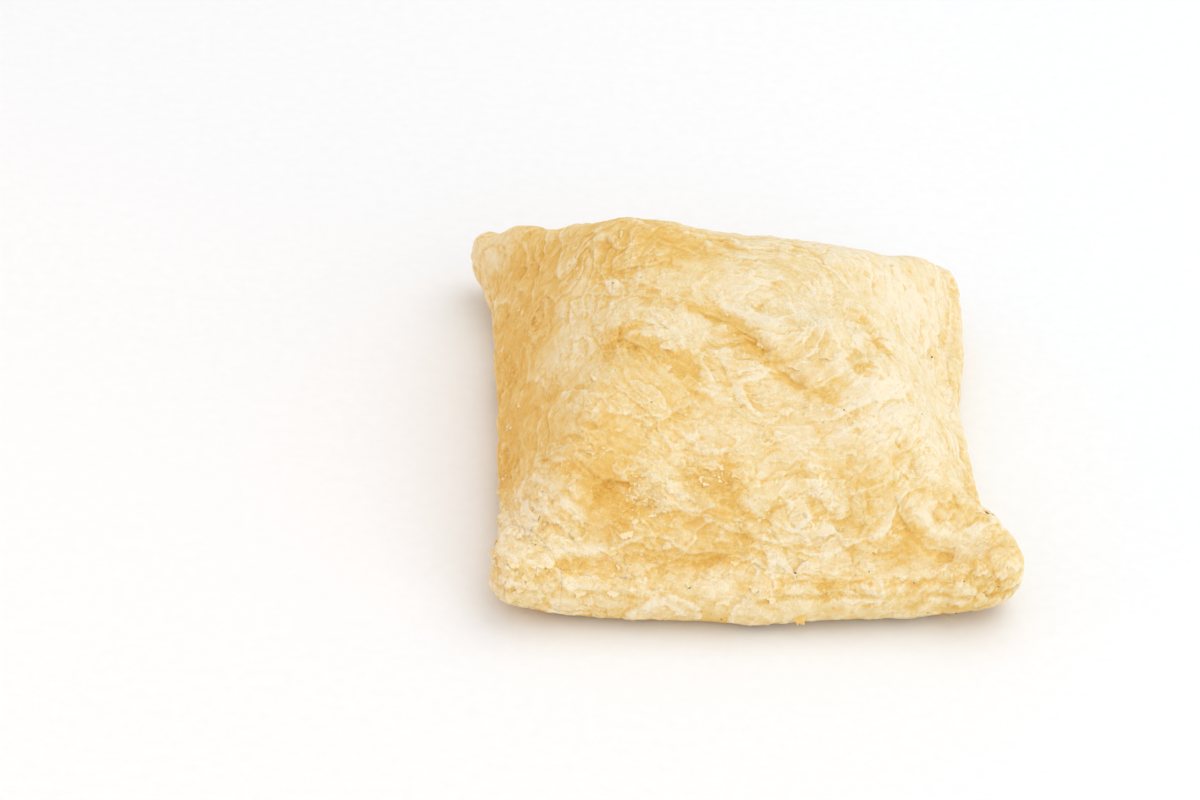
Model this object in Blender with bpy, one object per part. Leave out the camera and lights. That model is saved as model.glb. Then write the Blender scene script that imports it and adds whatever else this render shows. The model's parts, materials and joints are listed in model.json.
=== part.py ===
"""A square puff-pastry turnover, lying flat: a pillow of risen pastry with a thick sealed hem and four ears.

Lengths are in millimetres up to build(), which makes the mesh in metres. X runs along the front edge from
left to right, Y from front to back and Z up; the flat of the bottom is at Z = 0.
"""

import bpy
import numpy as np

MM = 0.001

# Outline: the four ear tips, each with how much more its underside leaves the table, and how far each side
# draws in between two of them at nine even steps.
EAR_TIPS = {
    "front_left": (-54.2, -61.4, 2.0),
    "front_right": (53.5, -56.6, 1.6),
    "back_right": (52.0, 46.6, 1.9),
    "back_left": (-55.0, 53.2, 2.7),
}
DRAWN_IN = {
    "front": [0.0, -0.4, -1.2, -2.2, -2.8, -2.0, -1.0, -0.6, 0.0],
    "right": [0.0, 2.9, 6.2, 6.2, 6.2, 5.2, 2.8, 1.8, 0.3],
    "back": [0.0, 2.0, 3.4, 4.2, 4.4, 4.2, 3.4, 2.0, 0.0],
    "left": [0.0, 4.0, 5.2, 5.8, 6.2, 6.4, 6.4, 5.0, 0.0],
}
EAR_ROUNDING = 0.13  # share of half a side that each ear rounds off
HALF_SIDE = 52.0  # half the side of the square, for distances in from the hem

# Hem: the sealed edge that the pillow rises from.
HEM_THICKNESS = 10.5
EAR_THICKNESS = 13.6
HEM_ROUNDNESS = 2.5
HEM_LIFT = 1.2  # the underside leaves the table by this much along the hem

# Pillow: height in the middle, and each flank as (distance in where it starts, width, steepness).
TOP_HEIGHT = 38.0
PILLOW_FOOT = 7.0
FLANKS = {
    "front": (1.4, 51.0, 3.0),
    "right": (1.4, 44.0, 3.2),
    "back": (1.8, 45.0, 3.2),
    "left": (0.4, 44.0, 3.6),
}
FLANK_CORNER = 2.6  # how squarely two flanks meet
SWELLINGS = [  # (place across, place back, radius, height), places from -1 to 1
    (-0.91, 0.89, 0.145, 7.4),
    (0.85, 0.83, 0.18, 6.0),
    (0.69, 0.74, 0.22, -1.5),
    (-0.33, 0.60, 0.25, 2.8),
    (-0.35, 0.15, 0.60, 0.6),
    (0.78, 0.35, 0.42, -2.5),
    (0.95, -0.81, 0.13, 8.0),
]

# Folds in the crust: (groove depth, groove width, height of the leaf on the left of the line, how far that
# leaf reaches, line over the surface). A negative depth is a ridge.
FOLDS = {
    "long crack": (1.0, 1.6, 0.8, 9.0, [
        (-12.0, -8.8, 38.5), (-7.6, -9.2, 38.5), (-4.4, -11.6, 38.4), (-1.8, -14.9, 38.2), (1.4, -18.7, 37.8),
        (3.8, -23.9, 36.9), (7.7, -27.2, 36.0), (13.7, -31.3, 34.3)]),
    "golden hollow": (1.0, 3.2, 0.6, 7.0, [
        (-28.5, -14.1, 35.7), (-24.5, -18.4, 37.1), (-20.5, -21.7, 37.4), (-15.5, -24.1, 37.0), (-11.9, -26.0, 36.5)]),
    "curved leaf": (0.3, 1.4, 0.7, 8.0, [
        (-40.1, -1.6, 24.7), (-39.4, 4.6, 25.7), (-36.9, 6.5, 28.9), (-33.2, 4.1, 32.7), (-29.5, 1.1, 35.2),
        (-22.1, -2.7, 37.9), (-14.7, -4.8, 38.5), (-9.5, -7.8, 38.5)]),
    "upper crack": (0.8, 1.5, 0.6, 7.0, [
        (-30.5, 7.9, 34.5), (-26.9, 7.4, 36.6), (-22.6, 7.1, 38.0), (-18.8, 6.9, 38.6), (-13.7, 9.3, 38.8)]),
    "upper hollow": (0.6, 2.6, 0.3, 6.0, [
        (-20.5, 16.2, 38.1), (-16.4, 13.8, 38.7), (-11.3, 11.3, 38.8), (-8.0, 9.4, 38.7)]),
    "ear fold": (1.3, 2.4, 0.6, 6.0, [
        (-48.9, 33.2, 9.3), (-47.0, 34.0, 12.9), (-44.8, 33.3, 17.1), (-41.7, 28.9, 22.1), (-39.0, 25.4, 26.0),
        (-36.5, 25.6, 28.9), (-32.5, 22.3, 33.1)]),
    "side leaf": (0.4, 1.2, 0.5, 6.0, [
        (-47.2, 9.0, 11.9), (-44.8, 13.4, 15.5), (-42.4, 10.2, 20.5), (-39.7, 4.3, 25.2)]),
    "right leaf": (0.3, 1.0, 0.5, 7.0, [
        (7.0, -4.0, 38.2), (9.5, -4.5, 38.0), (13.2, -5.8, 37.7), (16.5, -7.3, 37.2), (21.0, -9.6, 35.9)]),
    "right hollow": (0.6, 2.0, 0.0, 5.0, [
        (21.9, -3.3, 35.5), (24.3, -6.4, 34.5), (26.2, -11.6, 33.6), (26.8, -15.0, 33.4)]),
    "lower right leaf": (0.3, 1.2, 0.6, 8.0, [
        (15.2, -31.2, 34.3), (23.0, -34.8, 32.0), (31.4, -35.9, 28.8), (37.0, -37.0, 24.0)]),
    "torn line": (0.6, 1.3, 0.4, 6.0, [
        (-9.7, -19.3, 37.8), (-7.0, -24.3, 36.9), (-5.3, -30.1, 35.3), (-3.4, -34.3, 33.4), (0.3, -37.5, 31.6)]),
    "curved line": (0.3, 1.2, 0.5, 6.0, [
        (-24.0, -40.5, 29.4), (-21.8, -37.5, 31.4), (-18.1, -35.1, 32.9), (-12.3, -32.8, 34.1)]),
    "brow": (0.6, 1.2, 0.9, 8.0, [
        (-35.5, -43.2, 26.4), (-33.2, -44.6, 25.4), (-31.8, -45.6, 24.7), (-29.3, -46.0, 24.5),
        (-26.7, -46.1, 24.6), (-23.9, -46.1, 24.6)]),
    "valley under the brow": (0.8, 2.2, 0.0, 5.0, [
        (-34.0, -47.0, 23.2), (-30.5, -48.0, 22.4), (-26.5, -47.9, 22.6), (-24.0, -49.6, 20.9), (-18.5, -49.8, 20.8)]),
    "pale curved leaf": (0.3, 1.0, 0.6, 7.0, [
        (-44.0, -36.9, 19.3), (-42.4, -37.2, 21.8), (-39.0, -39.4, 25.7), (-35.2, -40.8, 27.6), (-31.4, -41.9, 27.8)]),
    "hem crease left": (0.8, 1.3, 0.3, 4.0, [
        (-50.5, -57.0, 9.0), (-46.7, -59.6, 10.4), (-41.9, -59.2, 12.2), (-36.6, -57.1, 12.3), (-31.1, -56.2, 12.6),
        (-25.4, -55.6, 13.4), (-19.7, -55.4, 13.9), (-12.1, -56.0, 13.4), (-7.8, -55.3, 14.3), (-2.0, -54.6, 15.2)]),
    "hem crease right": (0.6, 1.2, 0.3, 4.0, [
        (4.5, -54.2, 15.3), (7.3, -53.5, 15.8), (12.3, -53.4, 15.3), (17.6, -53.2, 14.8), (22.2, -53.0, 14.3),
        (28.5, -52.5, 14.3)]),
    "front seam": (0.6, 0.9, 0.3, 3.0, [
        (4.0, -59.4, 11.0), (7.6, -58.6, 11.3), (17.2, -58.2, 10.9), (27.1, -57.1, 10.9), (37.2, -56.9, 11.1),
        (47.8, -56.8, 12.1), (53.0, -53.5, 12.5)]),
    "split": (0.9, 1.3, 0.0, 3.0, [(8.3, -54.4, 14.6), (7.8, -56.0, 12.6), (5.6, -58.4, 11.5), (3.2, -60.6, 9.6)]),
    "hem hole": (0.8, 1.4, 0.0, 3.0, [(11.9, -59.1, 10.6), (13.1, -59.7, 9.5), (13.6, -60.0, 7.4)]),
    "ear hollow": (1.2, 2.0, 0.6, 5.0, [
        (25.8, -44.5, 23.6), (26.9, -47.0, 21.4), (28.2, -49.0, 18.9), (29.7, -50.3, 17.0), (32.3, -51.5, 15.1),
        (37.5, -52.5, 13.6), (41.5, -54.8, 13.4)]),
    "ear notch": (0.8, 1.6, 0.3, 4.0, [
        (31.5, -43.2, 24.2), (32.8, -44.1, 23.3), (35.2, -44.4, 22.2), (37.2, -44.4, 21.1), (40.2, -45.7, 18.3)]),
    "standing ridges": (-0.7, 0.9, 0.0, 3.0, [(-16.0, -50.6, 20.1), (-15.7, -51.9, 18.6), (-14.6, -53.9, 16.0)]),
    "loop ridge": (-0.7, 1.0, 0.0, 3.0, [
        (-1.5, -52.2, 18.4), (-3.0, -52.6, 17.9), (-2.1, -51.0, 19.8), (-0.2, -49.6, 21.3), (3.2, -48.5, 22.3),
        (8.3, -47.7, 22.7)]),
    "tongue ridge": (-0.6, 1.1, 0.0, 3.0, [(3.3, -51.4, 19.0), (6.3, -51.5, 18.5), (11.5, -52.0, 17.2), (17.5, -52.1, 16.2)]),
    "back fold": (0.6, 2.0, 0.3, 6.0, [
        (-18.0, 41.0, 24.0), (-4.0, 39.5, 25.5), (10.0, 38.5, 26.0), (24.0, 36.5, 25.0), (34.0, 33.5, 21.5)]),
    "right side fold": (0.6, 1.8, 0.3, 6.0, [
        (40.5, 20.0, 21.0), (39.6, 6.0, 21.5), (38.5, -8.0, 22.0), (39.0, -22.0, 21.0), (41.0, -34.0, 17.5)]),
}

# Lumps and hollows: (x, y, z, radius, height).
LUMPS = [
    (-28.3, 26.5, 33.8, 4.0, 1.1), (-21.4, 25.3, 35.3, 5.0, 1.3), (-14.6, 22.3, 36.8, 4.0, 0.8),
    (-45.5, 15.0, 14.0, 3.0, 0.8), (-43.0, 6.0, 19.5, 3.2, 0.8), (-44.9, -10.5, 16.2, 3.6, 0.7),
    (-44.4, -25.8, 18.0, 3.4, 0.8), (-44.1, -39.7, 18.8, 3.2, 0.9), (-46.0, -47.1, 14.9, 2.6, 0.9),
    (-42.5, -53.2, 14.8, 3.0, 0.8), (-38.8, -60.7, 9.0, 4.0, 0.9), (-31.3, -60.1, 8.6, 3.0, 0.6),
    (-23.5, -60.5, 9.3, 3.4, 0.8), (-15.8, -60.8, 8.4, 3.0, 0.7), (-8.1, -60.7, 8.0, 3.2, 0.9),
    (-0.5, -60.0, 9.6, 2.8, 0.8), (9.0, -59.6, 6.0, 2.4, 0.7), (18.0, -59.0, 7.0, 3.0, 0.6),
    (24.0, -58.7, 7.5, 3.2, 0.8), (31.5, -58.0, 6.5, 2.8, 0.6), (39.8, -57.6, 6.8, 3.6, 0.9),
    (47.5, -53.5, 12.0, 3.6, 1.0), (-21.6, -45.4, 25.3, 3.0, 1.1), (-19.2, -47.2, 23.4, 2.4, 0.9),
    (-3.5, -46.5, 24.5, 3.6, 0.9), (9.5, -43.5, 26.8, 4.2, 0.8), (20.0, -46.0, 23.8, 4.0, 1.0),
    (-9.0, -50.5, 20.6, 2.8, 0.8), (-26.0, -52.5, 17.4, 3.2, 0.8), (13.0, -14.0, 37.7, 6.0, 0.9),
    (22.0, -24.0, 35.2, 5.0, 0.7), (-32.0, -30.0, 32.0, 5.0, 0.8), (-37.5, -16.0, 28.5, 4.5, 0.8),
    (-3.0, 3.0, 38.6, 6.0, 0.7), (6.0, 22.0, 36.8, 6.5, 0.9), (24.0, 14.0, 34.8, 6.0, 0.9),
    (-40.0, 42.0, 20.0, 4.0, 1.0), (-12.0, 44.5, 15.0, 4.0, 0.8), (6.0, 44.0, 14.5, 4.5, 0.9),
    (27.0, 41.0, 15.0, 4.0, 0.8), (44.0, 12.0, 13.0, 3.6, 0.8), (44.0, -16.0, 13.0, 3.6, 0.8),
    (-6.0, -2.0, 38.6, 4.0, -0.6), (33.0, -17.0, 27.5, 3.6, -0.7), (19.0, -17.5, 36.8, 3.0, -0.7),
    (-14.0, -40.5, 29.2, 3.0, -0.8), (1.0, -43.0, 27.6, 2.8, -0.7), (27.5, -41.0, 25.8, 3.0, -0.8),
]

# Flaky leaves all over the crust: (size across, height of a leaf, seed).
LEAVES = [(11.0, 0.7, 3), (5.0, 0.4, 8)]
LUMPINESS = [(15.0, 0.7, 21), (6.5, 0.42, 34), (3.2, 0.2, 55)]
SEAM_DEPTH = 0.6
SEAM_WIDTH = 0.9

GRID = 150  # quads along each side of a sheet
HEM_ROWS = 10
HEM_TURN = 60.0  # degrees that the hem's band turns above and below its middle
TRIANGLES = 11800


def smoothstep(low, high, value):
    t = np.clip((value - low) / (high - low), 0, 1)
    return t * t * (3 - 2 * t)


def through(values, t):
    """A smooth curve through evenly spaced values, for t from -1 to 1."""
    v = np.array([2 * values[0] - values[1], *values, 2 * values[-1] - values[-2]])
    place = np.clip((t + 1) / 2, 0, 1) * (len(values) - 1)
    i = np.minimum(place.astype(int), len(values) - 2)
    f = place - i
    a, b, c, d = v[i], v[i + 1], v[i + 2], v[i + 3]
    return b + 0.5 * f * (c - a + f * (2 * a - 5 * b + 4 * c - d + f * (3 * (b - c) + d - a)))


def rounded_square(a, b):
    """Moves places on nested squares to nested squares with rounded corners, and gives their level."""
    level = np.maximum(abs(a), abs(b))
    along = np.minimum(abs(a), abs(b)) / np.where(level > 0, level, 1.0)
    straight = 1 - EAR_ROUNDING
    run = along * (straight + EAR_ROUNDING * np.pi / 4)
    turn = np.clip((run - straight) / EAR_ROUNDING, 0, np.pi / 4)
    far = (straight + EAR_ROUNDING * np.cos(turn)) * level
    near = np.where(run <= straight, run, straight + EAR_ROUNDING * np.sin(turn)) * level
    wide = abs(a) >= abs(b)
    return np.where(wide, far, near) * np.sign(a), np.where(wide, near, far) * np.sign(b), level


def between_ears(p, q):
    """The x, y and lift at a place across (p) and back (q), shared out from the four ears."""
    shares = {
        "front_left": (1 - p) * (1 - q) / 4,
        "front_right": (1 + p) * (1 - q) / 4,
        "back_right": (1 + p) * (1 + q) / 4,
        "back_left": (1 - p) * (1 + q) / 4,
    }
    return [sum(share * EAR_TIPS[ear][axis] for ear, share in shares.items()) for axis in range(3)]


def footprint(p, q):
    """Where a place across (p) and back (q), each from -1 to 1, lies in plan."""
    x, y, _ = between_ears(p, q)
    x = x + through(DRAWN_IN["left"], q) * ((1 - p) / 2) ** 2 - through(DRAWN_IN["right"], q) * ((1 + p) / 2) ** 2
    y = y + through(DRAWN_IN["front"], p) * ((1 - q) / 2) ** 2 - through(DRAWN_IN["back"], p) * ((1 + q) / 2) ** 2
    return x, y


def hem(p, q):
    """Half the thickness of the hem, and the height of its middle."""
    ear = smoothstep(0.6, 1.0, abs(p)) * smoothstep(0.6, 1.0, abs(q))
    edge = np.maximum(smoothstep(0.6, 1.0, abs(p)), smoothstep(0.6, 1.0, abs(q)))
    half = (HEM_THICKNESS + (EAR_THICKNESS - HEM_THICKNESS) * ear) / 2
    return half, HEM_LIFT * edge**2 + between_ears(p, q)[2] * ear + half


def hem_curve(inward, half):
    return half * (1 - np.clip(1 - inward / (0.75 * half), 0, 1) ** HEM_ROUNDNESS) ** (1 / HEM_ROUNDNESS)


def flank(inward, side):
    start, width, steepness = FLANKS[side]
    return (1 - np.clip(inward - start, 0, width) / width) ** steepness


def pillow(p, q):
    """How far the pillow has risen, from 0 at the hem to 1 in the middle."""
    across = np.maximum(flank((1 + p) * HALF_SIDE, "left"), flank((1 - p) * HALF_SIDE, "right"))
    along = np.maximum(flank((1 + q) * HALF_SIDE, "front"), flank((1 - q) * HALF_SIDE, "back"))
    return 1 - np.clip((across**FLANK_CORNER + along**FLANK_CORNER) ** (1 / FLANK_CORNER), 0, 1)


def top_height(p, q, inward):
    half, middle = hem(p, q)
    edge = middle + hem_curve(inward, half)
    puff = PILLOW_FOOT + (TOP_HEIGHT - PILLOW_FOOT) * pillow(p, q)
    for across, back, radius, height in SWELLINGS:
        puff = puff + height * np.exp(-((p - across) ** 2 + (q - back) ** 2) / radius**2)
    soft = 1.2
    return edge + soft * np.logaddexp(0, (puff - edge) / soft) * smoothstep(0, 2.5, inward)


def bottom_height(p, q, inward):
    half, middle = hem(p, q)
    return middle - hem_curve(inward, half)


def sheet(height):
    """A grid over the whole square, out to where the hem's band begins."""
    steps = np.linspace(-1, 1, GRID + 1)
    p, q, level = rounded_square(*np.meshgrid(steps, steps, indexing="ij"))
    half, _ = hem(p, q)
    shrink = 1 - 0.75 * half * (1 - np.cos(np.radians(HEM_TURN)) ** (2 / HEM_ROUNDNESS)) / HALF_SIDE
    p, q = p * shrink, q * shrink
    x, y = footprint(p, q)
    return np.stack([x, y, height(p, q, (1 - level * shrink) * HALF_SIDE)], -1)


def band():
    """Rows of points around the hem, from its underside to its top."""
    steps = np.linspace(-1, 1, GRID + 1)[:-1]
    full = np.ones(GRID)
    p, q, _ = rounded_square(np.concatenate([steps, full, -steps, -full]), np.concatenate([-full, steps, full, -steps]))
    half, _ = hem(p, q)
    rows = []
    for turn in np.radians(np.linspace(-HEM_TURN, HEM_TURN, HEM_ROWS + 1)):
        inward = 0.75 * half * (1 - np.cos(turn) ** (2 / HEM_ROUNDNESS))
        height = top_height if turn > 0 else bottom_height
        shrink = 1 - inward / HALF_SIDE
        x, y = footprint(p * shrink, q * shrink)
        rows.append(np.stack([x, y, height(p * shrink, q * shrink, inward)], -1))
    return np.stack(rows, 0)


def rim_loop():
    """Indices of the points around a sheet's rim, in the order of the hem's band."""
    index = np.arange((GRID + 1) ** 2).reshape(GRID + 1, GRID + 1)
    return np.concatenate([index[:-1, 0], index[-1, :-1], index[:0:-1, -1], index[0, :0:-1]])


def surface():
    """Points and quads of the whole smooth form."""
    top, bottom, rows = sheet(top_height).reshape(-1, 3), sheet(bottom_height).reshape(-1, 3), band()[1:-1]
    index = np.arange((GRID + 1) ** 2).reshape(GRID + 1, GRID + 1)
    upper = np.stack([index[:-1, :-1], index[1:, :-1], index[1:, 1:], index[:-1, 1:]], -1).reshape(-1, 4)
    lower = upper[:, ::-1] + len(top)
    rings = [rim_loop() + len(top)]
    for row in range(len(rows)):
        rings.append(np.arange(4 * GRID) + 2 * len(top) + 4 * GRID * row)
    rings.append(rim_loop())
    sides = []
    for below, above in zip(rings[:-1], rings[1:]):
        sides.append(np.stack([below, np.roll(below, -1), np.roll(above, -1), above], -1))
    return np.concatenate([top, bottom, rows.reshape(-1, 3)]), np.concatenate([upper, lower, *sides])


def normals_of(points, quads):
    corners = points[quads]
    face = np.cross(corners[:, 2] - corners[:, 0], corners[:, 3] - corners[:, 1])
    normals = np.zeros_like(points)
    for corner in range(4):
        np.add.at(normals, quads[:, corner], face)
    return normals / np.linalg.norm(normals, axis=1, keepdims=True)


def noise(points, size, seed):
    """Smooth noise from -1 to 1 in space, one lump to each `size` millimetres."""
    cells = np.random.default_rng(seed).uniform(-1, 1, (32, 32, 32))
    place = points / size + 100.0
    low = np.floor(place).astype(int)
    f = place - low
    f = f * f * (3 - 2 * f)
    total = 0
    for dx in (0, 1):
        for dy in (0, 1):
            for dz in (0, 1):
                share = abs(1 - dx - f[:, 0]) * abs(1 - dy - f[:, 1]) * abs(1 - dz - f[:, 2])
                total = total + share * cells[(low[:, 0] + dx) % 32, (low[:, 1] + dy) % 32, (low[:, 2] + dz) % 32]
    return total


def leaves(points, size, height, seed):
    """Stacked leaves of pastry: noise cut into terraces with short steep edges."""
    bend = np.stack([noise(points, size * 0.8, seed + k) for k in (1, 2, 3)], -1)
    depth = noise(points + bend * size * 0.35, size, seed) * 1.8
    floor = np.floor(depth)
    return height * (floor + smoothstep(0.0, 0.22, depth - floor) - 0.5)


def fold(points, normals, shape):
    """Height that one fold adds at each point."""
    depth, width, leaf, reach, line = shape
    line = np.array(line)
    run = np.concatenate([[0], np.cumsum(np.linalg.norm(np.diff(line, axis=0), axis=1))])
    nearest = np.full(len(points), np.inf)
    side = np.zeros(len(points))
    place = np.zeros(len(points))
    for k in range(len(line) - 1):
        step = line[k + 1] - line[k]
        t = np.clip((points - line[k]) @ step / (step @ step), 0, 1)
        away = points - (line[k] + t[:, None] * step)
        distance = np.linalg.norm(away, axis=1)
        closer = distance < nearest
        nearest = np.where(closer, distance, nearest)
        side = np.where(closer, np.einsum("ij,ij->i", away, np.cross(normals, step)), side)
        place = np.where(closer, run[k] + t * (run[k + 1] - run[k]), place)
    fade = smoothstep(0, 3.0, place) * smoothstep(0, 3.0, run[-1] - place)
    groove = -depth * np.exp(-((nearest / width) ** 2)) * (0.35 + 0.65 * fade)
    signed = np.where(side > 0, nearest, -nearest)
    leaf_height = leaf * smoothstep(-0.1, 0.7, signed) * (1 - smoothstep(0, reach, signed)) * fade
    return groove + np.where(nearest < reach, leaf_height, 0)


def relief(points, normals):
    """Height of the crust over the smooth form, none on the flat of the bottom."""
    height = np.zeros(len(points))
    for size, amount, seed in LUMPINESS:
        height += amount * noise(points, size, seed)
    for size, amount, seed in LEAVES:
        height += leaves(points, size, amount, seed)
    for shape in FOLDS.values():
        height += fold(points, normals, shape)
    for x, y, z, radius, amount in LUMPS:
        height += amount * np.exp(-np.sum((points - [x, y, z]) ** 2, axis=1) / radius**2)
    seam = np.exp(-(((points[:, 2] - 8.5 - noise(points, 9.0, 70)) / SEAM_WIDTH) ** 2))
    outward = 1 - smoothstep(0.25, 0.6, normals[:, 2])
    height -= SEAM_DEPTH * seam * outward * (points[:, 2] < 14)
    upper = smoothstep(0.8, 4.0, points[:, 2])
    underside = smoothstep(0.4, 0.9, -normals[:, 2]) * smoothstep(0.2, 1.6, points[:, 2])
    return height * np.where(normals[:, 2] < -0.4, 0.25 * underside, upper)


def build():
    points, quads = surface()
    normals = normals_of(points, quads)
    points = points + normals * relief(points, normals)[:, None]
    low, high = points.min(axis=0), points.max(axis=0)
    points -= [(low[0] + high[0]) / 2, (low[1] + high[1]) / 2, 0]
    fine = bpy.data.meshes.new("fine crust")
    fine.from_pydata((points * MM).tolist(), [], quads.tolist())
    pastry = bpy.data.objects.new("pastry", fine)
    bpy.context.collection.objects.link(pastry)
    fewer = pastry.modifiers.new("Fewer faces", "DECIMATE")
    fewer.ratio = TRIANGLES / (2 * len(quads))
    return pastry


def settle(pastry):
    """Keeps the thinned mesh, with its flat laid exactly on Z = 0."""
    bpy.context.view_layer.update()
    evaluated = pastry.evaluated_get(bpy.context.evaluated_depsgraph_get())
    crust = bpy.data.meshes.new_from_object(evaluated)
    crust.name = "pastry"
    places = np.zeros(3 * len(crust.vertices))
    crust.vertices.foreach_get("co", places)
    places = places.reshape(-1, 3)
    places[places[:, 2] < 0.06 * MM, 2] = 0.0
    crust.vertices.foreach_set("co", places.ravel())
    crust.update()
    pastry.modifiers.clear()
    pastry.data = crust


def baked_crust():
    material = bpy.data.materials.new("Baked pastry")
    material.use_nodes = True
    shader = material.node_tree.nodes["Principled BSDF"]
    shader.inputs["Base Color"].default_value = (0.83, 0.62, 0.33, 1.0)
    shader.inputs["Roughness"].default_value = 0.6
    return material


for old in list(bpy.data.objects):
    bpy.data.objects.remove(old)
turnover = build()
settle(turnover)
turnover.data.materials.append(baked_crust())
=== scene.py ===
"""The looks of a square puff-pastry turnover, lying flat on a pale table.

Lengths are in millimetres until a mesh is made. X runs along the front edge, Y from front to back, Z up.
"""

import json
import math

import bpy
import numpy as np
from mathutils import Matrix, Vector

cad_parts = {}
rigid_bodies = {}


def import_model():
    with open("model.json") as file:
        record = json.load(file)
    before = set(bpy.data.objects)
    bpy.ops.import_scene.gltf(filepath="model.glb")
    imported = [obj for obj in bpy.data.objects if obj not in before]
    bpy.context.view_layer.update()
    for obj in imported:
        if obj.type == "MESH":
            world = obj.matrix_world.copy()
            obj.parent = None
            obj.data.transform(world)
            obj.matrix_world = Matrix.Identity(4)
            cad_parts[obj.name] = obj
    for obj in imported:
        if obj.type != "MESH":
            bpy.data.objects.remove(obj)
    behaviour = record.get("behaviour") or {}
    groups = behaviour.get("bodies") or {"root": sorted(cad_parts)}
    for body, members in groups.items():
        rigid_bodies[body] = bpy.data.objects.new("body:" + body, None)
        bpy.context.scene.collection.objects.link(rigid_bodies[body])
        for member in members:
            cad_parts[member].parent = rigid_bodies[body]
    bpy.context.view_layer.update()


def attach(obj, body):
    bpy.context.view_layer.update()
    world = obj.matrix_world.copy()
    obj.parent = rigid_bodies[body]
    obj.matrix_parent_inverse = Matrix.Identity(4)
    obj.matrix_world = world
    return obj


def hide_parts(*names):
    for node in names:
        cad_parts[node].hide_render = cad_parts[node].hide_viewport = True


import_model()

# The view: the camera looks down on the lying pastry, a little from the left and tipped to the right,
# with a long lens.
ELEVATION, AZIMUTH, ROLL = 37.0, -6.42, 5.66
DISTANCE = 0.9
LENS = 130.6
LOOKS_AT = Vector((-0.02692, 0.01751, 0.0))


def place_camera():
    azimuth, elevation, roll = (math.radians(angle) for angle in (AZIMUTH, ELEVATION, ROLL))
    back = Vector((
        math.sin(azimuth) * math.cos(elevation),
        -math.cos(azimuth) * math.cos(elevation),
        math.sin(elevation),
    ))
    level_right = Vector((math.cos(azimuth), math.sin(azimuth), 0.0))
    level_up = back.cross(level_right)
    right = math.cos(roll) * level_right + math.sin(roll) * level_up
    up = back.cross(right)
    lens = bpy.data.cameras.new("Camera")
    lens.lens = LENS
    lens.sensor_width = 36.0
    lens.clip_start = 0.01
    lens.clip_end = 20.0
    camera = bpy.data.objects.new("Camera", lens)
    turned = Matrix((right, up, back)).transposed().to_4x4()
    camera.matrix_world = Matrix.Translation(LOOKS_AT + back * DISTANCE) @ turned
    bpy.context.scene.collection.objects.link(camera)
    bpy.context.scene.camera = camera


place_camera()

# The risen crust: a square of rolled puff dough, folded over its filling, sealed along a thick hem and
# pinched into four ears. In the oven it rose to a pillow whose skin split into hundreds of thin leaves.
MM = 0.001
SHIFT = (-0.4098, 5.5275, 0.0)  # from the ears' coordinates to the middle of the solid's box
EAR_TIPS = {  # (x, y, how far it is lifted)
    "front_left": (-54.2, -61.4, 2.0),
    "front_right": (53.5, -56.6, 1.6),
    "back_right": (52.0, 46.6, 1.9),
    "back_left": (-55.0, 53.2, 2.7),
}
DRAWN_IN = {  # how far each side is drawn in, from its left or front end to the other
    "front": [0.0, -0.4, -1.2, -2.2, -2.8, -2.0, -1.0, -0.6, 0.0],
    "right": [0.0, 2.9, 6.2, 6.2, 6.2, 5.2, 2.8, 1.8, 0.3],
    "back": [0.0, 2.0, 3.4, 4.2, 4.4, 4.2, 3.4, 2.0, 0.0],
    "left": [0.0, 4.0, 5.2, 5.8, 6.2, 6.4, 6.4, 5.0, 0.0],
}
EAR_ROUNDING = 0.13
HALF_SIDE = 52.0
HEM_THICKNESS = 10.5
EAR_THICKNESS = 13.6
HEM_ROUNDNESS = 2.5
HEM_REACH = 0.75  # how far in its curve goes, in halves of its thickness
HEM_LIFT = 1.2
TOP_HEIGHT = 38.0
PILLOW_FOOT = 7.0
SOFT_JOIN = 1.2  # how gently the pillow rises out of the hem
FLANKS = {  # (where it starts, how wide it is, how steep)
    "front": (1.4, 51.0, 3.0),
    "right": (1.4, 44.0, 3.2),
    "back": (1.8, 45.0, 3.2),
    "left": (0.4, 44.0, 3.6),
}
FLANK_CORNER = 2.6
SWELLINGS = [  # (across, back, radius, height), from -1 to 1 over the square
    (-0.91, 0.89, 0.145, 7.4),
    (0.85, 0.83, 0.18, 6.0),
    (0.69, 0.74, 0.22, -1.5),
    (-0.33, 0.60, 0.25, 2.8),
    (-0.35, 0.15, 0.60, 0.6),
    (0.78, 0.35, 0.42, -2.5),
    (0.95, -0.81, 0.13, 8.0),
]
CRUST_GRID = 600
HEM_SHARE = 0.085  # share of the grid's rings that wrap the hem
HEM_TURN = 60.0  # degrees from level, where the wrap of the hem starts
UNDER_TURN = -58.0  # and where it ends, under the edge
NOISE_CELLS = 32
# Turns the noise off the axes.
ASKEW = np.linalg.qr(np.array([[0.72, -0.52, 0.46], [0.60, 0.80, -0.03], [-0.35, 0.30, 0.89]]))[0]


def smoothstep(low, high, value):
    t = np.clip((value - low) / (high - low), 0, 1)
    return t * t * (3 - 2 * t)


def through(values, t):
    v = np.array([2 * values[0] - values[1], *values, 2 * values[-1] - values[-2]])
    place = np.clip((t + 1) / 2, 0, 1) * (len(values) - 1)
    i = np.minimum(place.astype(int), len(values) - 2)
    f = place - i
    a, b, c, d = v[i], v[i + 1], v[i + 2], v[i + 3]
    return b + 0.5 * f * (c - a + f * (2 * a - 5 * b + 4 * c - d + f * (3 * (b - c) + d - a)))


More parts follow.
